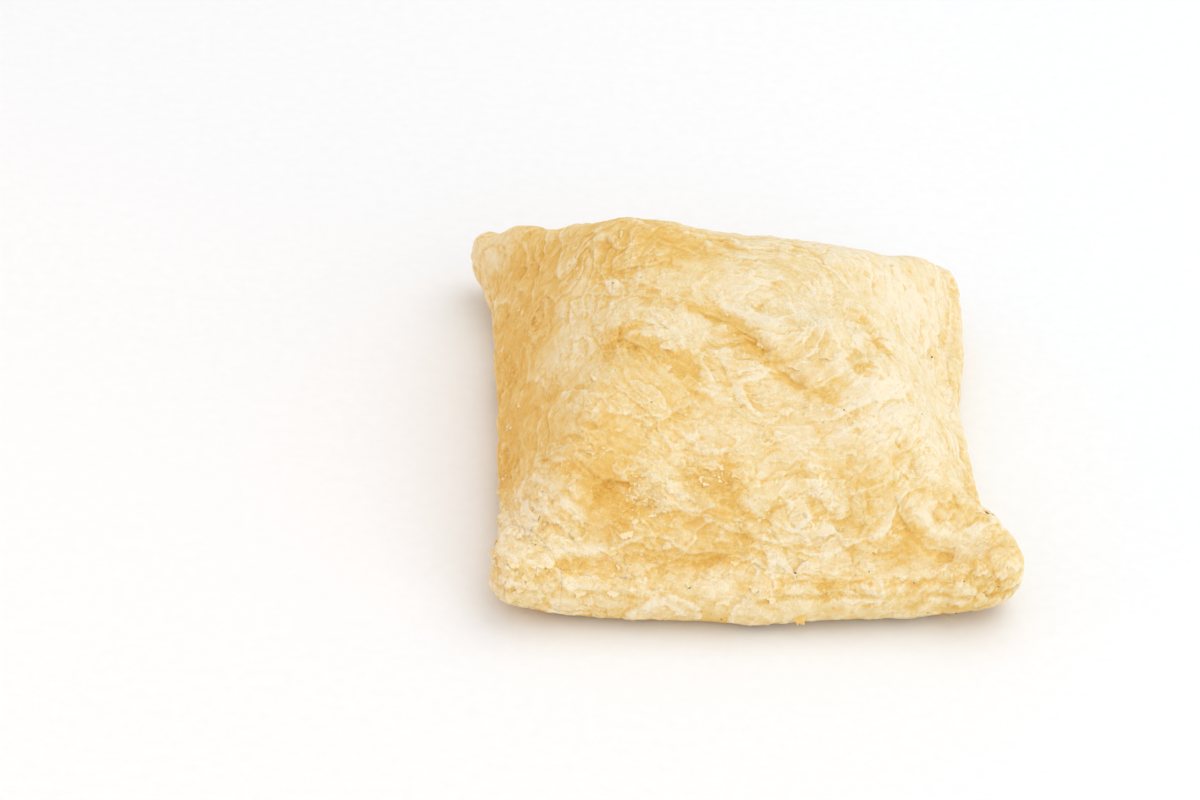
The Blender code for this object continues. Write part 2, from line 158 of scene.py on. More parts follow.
def rounded_square(a, b):
    level = np.maximum(abs(a), abs(b))
    along = np.minimum(abs(a), abs(b)) / np.where(level > 0, level, 1.0)
    straight = 1 - EAR_ROUNDING
    run = along * (straight + EAR_ROUNDING * np.pi / 4)
    turn = np.clip((run - straight) / EAR_ROUNDING, 0, np.pi / 4)
    far = straight + EAR_ROUNDING * np.cos(turn)
    near = np.where(run <= straight, run, straight + EAR_ROUNDING * np.sin(turn))
    wide = abs(a) >= abs(b)
    return np.where(wide, far, near) * np.sign(a), np.where(wide, near, far) * np.sign(b), level


def between_ears(p, q):
    """The x, y and lift at a place across (p) and back (q), shared out from the four ears."""
    shares = {
        "front_left": (1 - p) * (1 - q) / 4,
        "front_right": (1 + p) * (1 - q) / 4,
        "back_right": (1 + p) * (1 + q) / 4,
        "back_left": (1 - p) * (1 + q) / 4,
    }
    return [sum(share * EAR_TIPS[ear][axis] for ear, share in shares.items()) for axis in range(3)]


def footprint(p, q):
    x, y, _ = between_ears(p, q)
    left, right = ((1 - p) / 2) ** 2, ((1 + p) / 2) ** 2
    front, back = ((1 - q) / 2) ** 2, ((1 + q) / 2) ** 2
    x = x + through(DRAWN_IN["left"], q) * left - through(DRAWN_IN["right"], q) * right
    y = y + through(DRAWN_IN["front"], p) * front - through(DRAWN_IN["back"], p) * back
    return x, y


def hem(p, q):
    ear = smoothstep(0.6, 1.0, abs(p)) * smoothstep(0.6, 1.0, abs(q))
    edge = np.maximum(smoothstep(0.6, 1.0, abs(p)), smoothstep(0.6, 1.0, abs(q)))
    half = (HEM_THICKNESS + (EAR_THICKNESS - HEM_THICKNESS) * ear) / 2
    return half, HEM_LIFT * edge**2 + between_ears(p, q)[2] * ear + half


def hem_curve(inward, half):
    rest = np.clip(1 - inward / (HEM_REACH * half), 0, 1)
    return half * (1 - rest**HEM_ROUNDNESS) ** (1 / HEM_ROUNDNESS)


def flank(inward, side):
    start, width, steepness = FLANKS[side]
    return (1 - np.clip(inward - start, 0, width) / width) ** steepness


def pillow(p, q):
    across = np.maximum(flank((1 + p) * HALF_SIDE, "left"), flank((1 - p) * HALF_SIDE, "right"))
    along = np.maximum(flank((1 + q) * HALF_SIDE, "front"), flank((1 - q) * HALF_SIDE, "back"))
    return 1 - np.clip((across**FLANK_CORNER + along**FLANK_CORNER) ** (1 / FLANK_CORNER), 0, 1)


def top_height(p, q, inward):
    half, middle = hem(p, q)
    edge = middle + hem_curve(inward, half)
    puff = PILLOW_FOOT + (TOP_HEIGHT - PILLOW_FOOT) * pillow(p, q)
    for across, back, radius, height in SWELLINGS:
        puff = puff + height * np.exp(-((p - across) ** 2 + (q - back) ** 2) / radius**2)
    return edge + SOFT_JOIN * np.logaddexp(0, (puff - edge) / SOFT_JOIN) * smoothstep(0, 2.5, inward)


def bottom_height(p, q, inward):
    half, middle = hem(p, q)
    return middle - hem_curve(inward, half)


def wrapped(a, b, last_turn, height):
    """Points of a sheet over the square, whose outer rings wrap the hem as far as last_turn."""
    p, q, level = rounded_square(a, b)
    half, _ = hem(p, q)
    wrap = np.clip((level - 1 + HEM_SHARE) / HEM_SHARE, 0, 1)
    first = HEM_TURN if height is top_height else -HEM_TURN
    turn = np.radians(first + (last_turn - first) * wrap)
    inward = HEM_REACH * half * (1 - np.cos(turn) ** (2 / HEM_ROUNDNESS))
    flat = np.clip(level / (1 - HEM_SHARE), 0, 1)
    inward = np.where(wrap > 0, inward, HALF_SIDE + (inward - HALF_SIDE) * flat)
    shrink = 1 - inward / HALF_SIDE
    p, q = p * shrink, q * shrink
    x, y = footprint(p, q)
    z = np.where(turn > 0, top_height(p, q, inward), bottom_height(p, q, inward))
    return np.stack([x, y, z], -1), p, q


def square_grid(count):
    """Places from -1 to 1 both ways, closer together towards the hem."""
    steps = np.linspace(-1, 1, count + 1)
    steps = steps * (1.16 - 0.16 * steps**2)
    return np.meshgrid(steps, steps, indexing="ij")


def grid_quads(count):
    index = np.arange((count + 1) ** 2).reshape(count + 1, count + 1)
    return np.stack([index[:-1, :-1], index[1:, :-1], index[1:, 1:], index[:-1, 1:]], -1).reshape(-1, 4)


def normals_of(points, quads):
    corners = points[quads]
    face = np.cross(corners[:, 2] - corners[:, 0], corners[:, 3] - corners[:, 1])
    normals = np.zeros_like(points)
    for corner in range(4):
        np.add.at(normals, quads[:, corner], face)
    return normals / np.maximum(np.linalg.norm(normals, axis=1, keepdims=True), 1e-12)


def noise(points, size, seed):
    """Smooth noise from -1 to 1 in space, one lump to each `size` millimetres."""
    draw = np.random.default_rng(seed)
    cells = draw.uniform(-1, 1, (NOISE_CELLS, NOISE_CELLS, NOISE_CELLS))
    place = points @ ASKEW / size + draw.uniform(3 * NOISE_CELLS, 4 * NOISE_CELLS, 3)
    low = np.floor(place).astype(int)
    f = place - low
    f = f * f * (3 - 2 * f)
    total = 0
    for dx in (0, 1):
        for dy in (0, 1):
            for dz in (0, 1):
                share = abs(1 - dx - f[:, 0]) * abs(1 - dy - f[:, 1]) * abs(1 - dz - f[:, 2])
                x, y, z = ((low + (dx, dy, dz)) % NOISE_CELLS).T
                total = total + share * cells[x, y, z]
    return total


def noises(points, size, seed):
    """An arrow at each point, from three noises whose seeds follow on."""
    return np.stack([noise(points, size, seed + k) for k in range(3)], -1)


def mottled(points, start, layers):
    """Noises of several sizes on top of one another."""
    total = np.full(len(points), start)
    for size, amount, seed in layers:
        total += amount * noise(points, size, seed)
    return total


# The crust's folds: cracks where the skin tore as it rose, with a leaf standing on the left of each line,
# ridges where a leaf curled up, and the creases that divide the pillow from its hem.
# (groove depth, groove width, leaf height, leaf reach, how golden, line over the surface)
FOLDS = {
    "long crack": (0.9, 1.7, 0.4, 9, 1.8, [
        (-12, -8.8, 38.5), (-7.6, -9.2, 38.5), (-4.4, -11.6, 38.4), (-1.8, -14.9, 38.2),
        (1.4, -18.7, 37.8), (3.8, -23.9, 36.9), (7.7, -27.2, 36), (13.7, -31.3, 34.3)]),
    "golden hollow": (0.55, 3.4, 0.4, 7, 1.1, [
        (-28.5, -14.1, 35.7), (-24.5, -18.4, 37.1), (-20.5, -21.7, 37.4), (-15.5, -24.1, 37),
        (-11.9, -26, 36.5)]),
    "curved leaf": (0.2, 2.2, 0.25, 8, 0.4, [
        (-40.1, -1.6, 24.7), (-39.4, 4.6, 25.7), (-36.9, 6.5, 28.9), (-33.2, 4.1, 32.7),
        (-29.5, 1.1, 35.2), (-22.1, -2.7, 37.9), (-14.7, -4.8, 38.5), (-9.5, -7.8, 38.5)]),
    "upper crack": (0.5, 1.6, 0.8, 7, 0.8, [
        (-30.5, 7.9, 34.5), (-26.9, 7.4, 36.6), (-22.6, 7.1, 38), (-18.8, 6.9, 38.6),
        (-13.7, 9.3, 38.8)]),
    "upper hollow": (0.36, 2.6, 0.2, 6, 0.6, [
        (-20.5, 16.2, 38.1), (-16.4, 13.8, 38.7), (-11.3, 11.3, 38.8), (-8, 9.4, 38.7)]),
    "ear fold": (0.5, 2.4, 0.33, 6, 0.6, [
        (-48.9, 33.2, 9.3), (-47, 34, 12.9), (-44.8, 33.3, 17.1), (-41.7, 28.9, 22.1), (-39, 25.4, 26),
        (-36.5, 25.6, 28.9), (-32.5, 22.3, 33.1)]),
    "side leaf": (0.24, 1.2, 0.28, 6, 0.4, [
        (-47.2, 9, 11.9), (-44.8, 13.4, 15.5), (-42.4, 10.2, 20.5), (-39.7, 4.3, 25.2)]),
    "right leaf": (0.2, 0.9, 0.28, 7, 0.4, [
        (7, -4, 38.2), (9.5, -4.5, 38), (13.2, -5.8, 37.7), (16.5, -7.3, 37.2), (21, -9.6, 35.9)]),
    "right hollow": (0.36, 2, 0, 5, 0.8, [
        (21.9, -3.3, 35.5), (24.3, -6.4, 34.5), (26.2, -11.6, 33.6), (26.8, -15, 33.4)]),
    "lower right leaf": (0.08, 1.2, 0.13, 8, 0.2, [
        (15.2, -31.2, 34.3), (23, -34.8, 32), (31.4, -35.9, 28.8), (37, -37, 24)]),
    "torn line": (0.33, 1.1, 0.24, 6, 0.4, [
        (-9.7, -19.3, 37.8), (-7, -24.3, 36.9), (-5.3, -30.1, 35.3), (-3.4, -34.3, 33.4),
        (0.3, -37.5, 31.6)]),
    "curved line": (0.2, 1.1, 0.28, 6, 0.4, [
        (-24, -40.5, 29.4), (-21.8, -37.5, 31.4), (-18.1, -35.1, 32.9), (-12.3, -32.8, 34.1)]),
    "brow": (0.4, 1.1, 1.1, 8, 0.9, [
        (-35.5, -43.2, 26.4), (-33.2, -44.6, 25.4), (-31.8, -45.6, 24.7), (-29.3, -46, 24.5),
        (-26.7, -46.1, 24.6), (-23.9, -46.1, 24.6)]),
    "valley under the brow": (0.44, 2.2, 0, 5, 0.7, [
        (-34, -47, 23.2), (-30.5, -48, 22.4), (-26.5, -47.9, 22.6), (-24, -49.6, 20.9),
        (-18.5, -49.8, 20.8)]),
    "pale curved leaf": (0.2, 1.2, 0.55, 7, 0.6, [
        (-44, -36.9, 19.3), (-42.4, -37.2, 21.8), (-39, -39.4, 25.7), (-35.2, -40.8, 27.6),
        (-31.4, -41.9, 27.8)]),
    "hem crease left": (0.44, 1.2, 0.16, 4, 0.8, [
        (-50.5, -57, 9), (-46.7, -59.6, 10.4), (-41.9, -59.2, 12.2), (-36.6, -57.1, 12.3),
        (-31.1, -56.2, 12.6), (-25.4, -55.6, 13.4), (-19.7, -55.4, 13.9), (-12.1, -56, 13.4),
        (-7.8, -55.3, 14.3), (-2, -54.6, 15.2)]),
    "hem crease right": (0.36, 1, 0.16, 4, 0.6, [
        (4.5, -54.2, 15.3), (7.3, -53.5, 15.8), (12.3, -53.4, 15.3), (17.6, -53.2, 14.8),
        (22.2, -53, 14.3), (28.5, -52.5, 14.3)]),
    "front seam": (0.36, 0.7, 0.16, 3, 0.6, [
        (4, -59.4, 11), (7.6, -58.6, 11.3), (17.2, -58.2, 10.9), (27.1, -57.1, 10.9), (37.2, -56.9, 11.1),
        (47.8, -56.8, 12.1), (53, -53.5, 12.5)]),
    "split": (0.53, 1.1, 0, 3, 0.8, [
        (8.3, -54.4, 14.6), (7.8, -56, 12.6), (5.6, -58.4, 11.5), (3.2, -60.6, 9.6)]),
    "hem hole": (0.48, 1.2, 0, 3, 1, [(11.9, -59.1, 10.6), (13.1, -59.7, 9.5), (13.6, -60, 7.4)]),
    "ear hollow": (0.68, 1.8, 0.33, 5, 0.9, [
        (25.8, -44.5, 23.6), (26.9, -47, 21.4), (28.2, -49, 18.9), (29.7, -50.3, 17), (32.3, -51.5, 15.1),
        (37.5, -52.5, 13.6), (41.5, -54.8, 13.4)]),
    "ear notch": (0.35, 1.4, 0.15, 4, 0.6, [
        (31.5, -43.2, 24.2), (32.8, -44.1, 23.3), (35.2, -44.4, 22.2), (37.2, -44.4, 21.1),
        (40.2, -45.7, 18.3)]),
    "standing ridges": (-0.4, 0.8, 0, 3, 0, [
        (-16, -50.6, 20.1), (-15.7, -51.9, 18.6), (-14.6, -53.9, 16)]),
    "loop ridge": (-0.4, 0.9, 0, 3, 0, [
        (-1.5, -52.2, 18.4), (-3, -52.6, 17.9), (-2.1, -51, 19.8), (-0.2, -49.6, 21.3),
        (3.2, -48.5, 22.3), (8.3, -47.7, 22.7)]),
    "tongue ridge": (-0.36, 1, 0, 3, 0, [
        (3.3, -51.4, 19), (6.3, -51.5, 18.5), (11.5, -52, 17.2), (17.5, -52.1, 16.2)]),
    "back fold": (0.36, 2, 0.2, 6, 0.5, [
        (-18, 41, 24), (-4, 39.5, 25.5), (10, 38.5, 26), (24, 36.5, 25), (34, 33.5, 21.5)]),
    "right side fold": (0.36, 1.8, 0.2, 6, 0.4, [
        (40.5, 20, 21), (39.6, 6, 21.5), (38.5, -8, 22), (39, -22, 21), (41, -34, 17.5)]),
}
LUMPS = [  # (x, y, z, radius, height)
    (-28.3, 26.5, 33.8, 4, 0.2), (-21.4, 25.3, 35.3, 4, 0.5), (-14.6, 22.3, 36.8, 4, 0.2),
    (-45.5, 15, 14, 3, 0.8), (-43, 6, 19.5, 3.2, 0.8), (-44.9, -10.5, 16.2, 3.6, 0.7),
    (-44.4, -25.8, 18, 3.4, 0.8), (-44.1, -39.7, 18.8, 3.2, 0.9), (-46, -47.1, 14.9, 2.6, 0.9),
    (-42.5, -53.2, 14.8, 3, 0.8), (-38.8, -60.7, 9, 4, 0.9), (-31.3, -60.1, 8.6, 3, 0.6),
    (-23.5, -60.5, 9.3, 3.4, 0.8), (-15.8, -60.8, 8.4, 3, 0.7), (-8.1, -60.7, 8, 3.2, 0.9),
    (-0.5, -60, 9.6, 2.8, 0.8), (9, -59.6, 6, 2.4, 0.7), (18, -59, 7, 3, 0.6), (24, -58.7, 7.5, 3.2, 0.8),
    (31.5, -58, 6.5, 2.8, 0.6), (39.8, -57.6, 6.8, 3.6, 0.9), (47.5, -53.5, 12, 3.6, 1),
    (-21.6, -45.4, 25.3, 3, 1.1), (-19.2, -47.2, 23.4, 2.4, 0.9), (-3.5, -46.5, 24.5, 3.6, 0.9),
    (9.5, -43.5, 26.8, 4.2, 0.8), (20, -46, 23.8, 4, 1), (-9, -50.5, 20.6, 2.8, 0.8),
    (-26, -52.5, 17.4, 3.2, 0.8), (13, -14, 37.7, 6, 0.9), (22, -24, 35.2, 5, 0.7),
    (-32, -30, 32, 5, 0.8), (-37.5, -16, 28.5, 4.5, 0.8), (-3, 3, 38.6, 6, 0.7), (6, 22, 36.8, 6.5, 0.9),
    (24, 14, 34.8, 6, 0.9), (-40, 42, 20, 4, 1), (-12, 44.5, 15, 4, 0.8), (6, 44, 14.5, 4.5, 0.9),
    (27, 41, 15, 4, 0.8), (44, 12, 13, 3.6, 0.8), (44, -16, 13, 3.6, 0.8), (-6, -2, 38.6, 4, -0.6),
    (33, -17, 27.5, 3.6, -0.7), (19, -17.5, 36.8, 3, -0.7), (-14, -40.5, 29.2, 3, -0.3),
    (1, -43, 27.6, 2.8, -0.5), (27.5, -41, 25.8, 3, -0.8), (43.6, 40, 17.5, 3.4, 1),
    (39.5, 35.5, 21.8, 3, -0.5), (49.5, 45, 11, 4, -0.8),
]
BARE_PATCHES = [  # where the outer leaves have come away and gold shows: (x, y, z, radius, how bare)
    (-27, -15, 36, 3.5, 0.7), (-22, -20, 37, 4, 0.9), (-16, -24, 37, 3.6, 1), (-13, -26, 37, 2.4, 0.9),
    (-4, -12, 38, 2.6, 0.9), (-2.5, -17, 38, 3.6, 1), (-0.5, -21.5, 38, 3.6, 1), (3, -19, 38, 2, 0.9),
    (-15, 15, 39, 4, 0.9), (-11, 12.5, 39, 3.6, 0.9), (-26, 8, 37, 2.4, 0.7), (-21, 9, 38, 2.6, 0.7),
    (-20, -1, 38, 3, 0.5), (-13, -4, 39, 3.2, 0.6), (-7, -5, 38, 3.2, 0.6), (-44, -8, 18, 3, 0.5),
    (-40, -19, 26, 4, 0.6), (-35, -26, 31, 3.6, 0.6), (-29, -20, 35, 1.8, 0.8), (24, -5, 35, 2.2, 0.8),
    (24.5, -10, 35, 2.4, 0.8), (27, -13, 33, 2.4, 0.7), (19.5, -18, 36.5, 2.4, 0.8),
    (33.5, -12.5, 27.5, 3, 0.7), (19, -37, 31, 2.4, 0.6), (17, -41, 28, 2.6, 0.6),
    (11, -36, 32, 2.4, 0.5), (27, -38, 30, 3, 0.5), (-30, -47, 23, 3.4, 0.9),
    (-26.5, -49.5, 21, 2.6, 0.8), (-12, -45.5, 25.5, 3, 0.7), (-9, -47, 24, 3.6, 0.8),
    (-36, -58, 12, 2.6, 0.7), (-20, -55.5, 13.5, 3, 0.7), (-10, -56, 13.5, 3, 0.7),
    (4, -49, 22, 2.6, 0.6), (10, -49, 20.5, 3.2, 0.9), (16, -50, 19, 3, 0.9), (19, -50, 18, 2.4, 0.7),
    (-2.5, -53, 17, 2.2, 0.8), (30, -50, 18, 2.8, 0.8), (36, -52, 13.5, 3, 0.7), (37, -45, 21, 2.4, 0.6),
    (13, -59.5, 9, 2.4, 0.9), (30, -58, 6, 2.6, 0.6), (4, -60, 10, 2.6, 0.6), (42, -57, 11, 3, 0.6),
    (-49, 35.5, 10, 3.6, 0.4), (-46, 22, 12, 4, 0.4), (-48, 2, 11, 4, 0.5), (-48, -12, 11, 4, 0.5),
    (-47.5, -28, 13, 4, 0.5), (1, -5.5, 38, 2, 0.6), (-14, -30, 35, 2, 0.5), (-1, -40, 30, 2.4, 0.5),
    (-39, -51, 18, 2.4, 0.5), (28, -33, 31, 2.6, 0.4), (21, -43, 26, 2.4, 0.5), (15, -45, 25, 2.6, 0.5),
    (7, -44, 27, 2.4, 0.5), (8, 14, 38, 3, 0.4), (34, 24, 25, 4, 0.5), (0, 30, 34, 4, 0.5),
    (-28, 38, 27, 4, 0.6), (16, 42, 17, 4, 0.6), (-6, 46, 12, 3.5, 0.6), (43, 2, 14, 3.5, 0.6),
    (42, -26, 16, 3.5, 0.6),
]
# Painted light and shade along with browning: the left flank and the brow are darker and more orange, as in
# shade with warm light bounced onto them, and the right side and top are paler, as lit from the right.
BROWNING_AND_PAINTED_LIGHT = [  # darker or paler spots, partly oven browning and partly painted light and shade: (x, y, z, radius, amount)
    (-49, -22, 12, 14, 0.6), (-48, 6, 15, 15, 0.62), (-43, 27, 20, 13, 0.32), (-28, 22, 34, 12, 0.14),
    (-20, 14, 38, 10, 0.08), (33, 22, 27, 17, -0.26), (12, 22, 36, 12, -0.12), (42, -12, 20, 15, -0.16),
    (26, -8, 33, 12, -0.12), (30, -34, 29, 10, -0.22), (0, -12, 38, 12, -0.18), (0, -60, 8, 12, -0.03),
    (42, -56, 8, 9, 0.18), (-36, -38, 26, 8, 0.17), (-42, -48, 19, 9, -0.12), (-30, -28, 33, 8, 0.08),
    (0, 48, 12, 16, 0.12), (-26, -50, 19, 7, 0.36), (-30, -44, 25, 6, 0.25), (-6, -50, 20, 8, 0.18),
    (10, -40, 29, 9, 0.02), (22, -30, 33, 9, -0.12),
]
EVEN_BAKE = 0.26  # how baked the crust is before anything marks it, from 0 pale to 1 deep brown
BAKE_MOTTLE = [(9.0, 0.10, 141), (3.5, 0.05, 142), (1.2, 0.04, 143)]  # (size, amount, seed)
LUMPINESS = [  # (size, height, seed)
    (15.0, 0.7, 21), (6.5, 0.28, 34), (3.2, 0.14, 55), (1.5, 0.10, 89), (0.8, 0.065, 144),
]
LEAVES = [  # (size across, height at the torn edge, how golden and darker it leaves the crust below the edge, seed); the gold is the lower leaf's colour with painted shade under the edge
    (12.0, 0.27, 0.19, 3), (6.5, 0.18, 0.15, 8), (3.4, 0.13, 0.11, 13),
]
PLATES = [(4.2, 0.30, 0.17, 201), (1.9, 0.20, 0.14, 202)]  # (size, height, how their tones differ, seed)
FLAKY = [  # where the outer leaves have broken into plates: (x, y, z, radius, amount)
    (-46, -54, 12, 11, 0.7), (-36, -46, 23, 8, 0.5), (-22, -48, 23, 7, 0.9), (-8, -46, 24, 9, 0.6),
    (-48, -26, 12, 9, 0.5), (-50, -41, 10, 8, 0.8), (-30, -59, 8, 10, 0.6), (-4, -57, 11, 10, 0.6),
    (10, -50, 19, 8, 0.6), (14, -34, 32, 10, 0.25), (-14, -10, 38, 8, 0.25), (44, -54, 12, 9, 0.6),
    (22, -58, 8, 8, 0.5), (-24, -31, 34, 7, 0.2), (2, -28, 36, 9, 0.2),
]
BULGES = [  # puffed blisters between fine creases: (size, height, how golden the creases are, seed)
    (7.5, 0.55, 0.17, 501), (3.8, 0.33, 0.15, 502), (2.0, 0.20, 0.12, 503),
]
SCALY = [  # where the leaves lap most clearly: (x, y, z, radius, amount)
    (-40, 10, 25, 12, 1), (-28, 18, 35, 11, 1.1), (-42, 30, 19, 10, 1), (-14, 14, 38, 9, 0.7),
    (-36, -38, 26, 8, 0.8), (22, -36, 31, 9, 0.6),
]
FRAYED = 0.5
STRETCHED = 0.55  # leaves are longer along the pillow's sides than down them
BLISTERS = (2.3, 0.30)  # size and height
WRINKLES = 0.10
GOLDEN_FOLDS = 0.36
BARE_DEPTH = 0.18
HOLLOW_SHADE_TINT = 0.85  # painted shade: how much darker and more golden the crust is tinted for each millimetre that a place lies in a hollow
DEEP_BAKE = 0.6  # past this the crust darkens only half as fast
SEAM_HEIGHT, SEAM_DEPTH, SEAM_WIDTH = 8.5, 0.5, 0.7
SKIRT_HEIGHT = 2.4
PLEATED_EAR = (-60.0, -66.0, 22.0)  # where the front left ear's pleats fan out from, and how far they reach


def lapped_leaves(points, ring, size, seed):
    """Leaves lapped like shingles down from the top: from 0 beside one torn edge up to 1 at the next.

    The second answer is how clearly the edge shows, as leaves are torn here and whole there.
    """
    bend = noises(points, size * 0.7, seed + 1)
    fray = noises(points, 0.45 * size**0.4, seed + 4)
    place = np.stack([ring, STRETCHED * points[:, 0], STRETCHED * points[:, 1]], -1)
    place = place + bend * size * 0.35 + fray * FRAYED
    depth = 0.4 * ring / size + 1.4 * noise(place, size, seed)
    return depth - np.floor(depth), smoothstep(-0.5, 0.3, noise(points, size * 1.1, seed + 7))


def plates(place, size, seed):
    """Broken plates: a number drawn for each plate, the way from its middle and how far its edge is."""
    scaled = place / size + 50.0
    cell = np.floor(scaled).astype(int)
    draws = np.random.default_rng(seed).uniform(0, 1, (NOISE_CELLS, NOISE_CELLS, NOISE_CELLS, 4))
    nearest = np.full(len(place), np.inf)
    second = nearest.copy()
    kind = np.zeros(len(place))
    way = np.zeros((len(place), 3))
    for step in np.ndindex(3, 3, 3):
        other = cell + np.array(step) - 1
        x, y, z = (other % NOISE_CELLS).T
        draw = draws[x, y, z]
        away = scaled - other - draw[:, :3]
        distance = np.einsum("ij,ij->i", away, away)
        closer = distance < nearest
        second = np.where(closer, nearest, np.minimum(second, distance))
        nearest = np.where(closer, distance, nearest)
        kind = np.where(closer, draw[:, 3], kind)
        way = np.where(closer[:, None], away, way)
    return kind, way, np.sqrt(second) - np.sqrt(nearest)


def fold(points, normals, shape):
    """What one fold adds near its line: the points it reaches, their height, how golden and how pale."""
    depth, width, leaf, reach, golden, line = shape
    line = np.array(line)
    margin = max(reach, 3 * width) + 1
    box = (points > line.min(axis=0) - margin) & (points < line.max(axis=0) + margin)
    near = np.flatnonzero(box.all(axis=1))
    points, normals = points[near], normals[near]
    run = np.concatenate([[0], np.cumsum(np.linalg.norm(np.diff(line, axis=0), axis=1))])
    nearest = np.full(len(points), np.inf)
    side = np.zeros(len(points))
    place = np.zeros(len(points))
    for k in range(len(line) - 1):
        step = line[k + 1] - line[k]
        t = np.clip((points - line[k]) @ step / (step @ step), 0, 1)
        away = points - (line[k] + t[:, None] * step)
        distance = np.linalg.norm(away, axis=1)
        closer = distance < nearest
        nearest = np.where(closer, distance, nearest)
        side = np.where(closer, np.einsum("ij,ij->i", away, np.cross(normals, step)), side)
        place = np.where(closer, run[k] + t * (run[k + 1] - run[k]), place)
    fade = smoothstep(0, 3.0, place) * smoothstep(0, 3.0, run[-1] - place)
    fade = fade * (0.45 + 0.55 * smoothstep(-0.4, 0.4, noise(points, 4.0, 95)))
    groove = -depth * np.exp(-((nearest / width) ** 2)) * fade
    signed = np.where(side > 0, nearest, -nearest)
    stand = 0.65 * leaf * smoothstep(-0.2, 0.4, signed) * (1 - smoothstep(0, reach, signed)) * fade
    low_side = np.exp(-((np.minimum(signed, 0) / (1.6 * width)) ** 2)) * (1 - smoothstep(-0.1, 0.3, signed))
    lip = smoothstep(0.05, 0.3, signed) * (1 - smoothstep(0.4, 1.3, signed)) * fade * (leaf > 0)
    beside = 0.6 * np.exp(-((nearest / width) ** 2))
    golden = golden * np.maximum(low_side * fade, beside)
    return near, groove + np.where(nearest < reach, stand, 0), golden, lip


def spots(points, places):
    """The strongest of many soft round spots at each point."""
    strongest = np.zeros(len(points))
    for x, y, z, radius, amount in places:
        away = points - [x, y, z]
        near = np.flatnonzero((abs(away) < 2.6 * radius).all(axis=1))
        value = amount * np.exp(-np.sum(away[near] ** 2, axis=1) / radius**2)
        strongest[near] = np.where(abs(value) > abs(strongest[near]), value, strongest[near])
    return strongest


def hollowed(height, rounds):
    """How far each place on the crust's grid lies below its neighbourhood, which grows with the rounds."""
    level = height.reshape(CRUST_GRID + 1, CRUST_GRID + 1)
    for _ in range(rounds):
        level = np.pad(level, 1, mode="edge")
        level = (level[:-2] + 2 * level[1:-1] + level[2:]) / 4
        level = (level[:, :-2] + 2 * level[:, 1:-1] + level[:, 2:]) / 4
    return level.ravel() - height


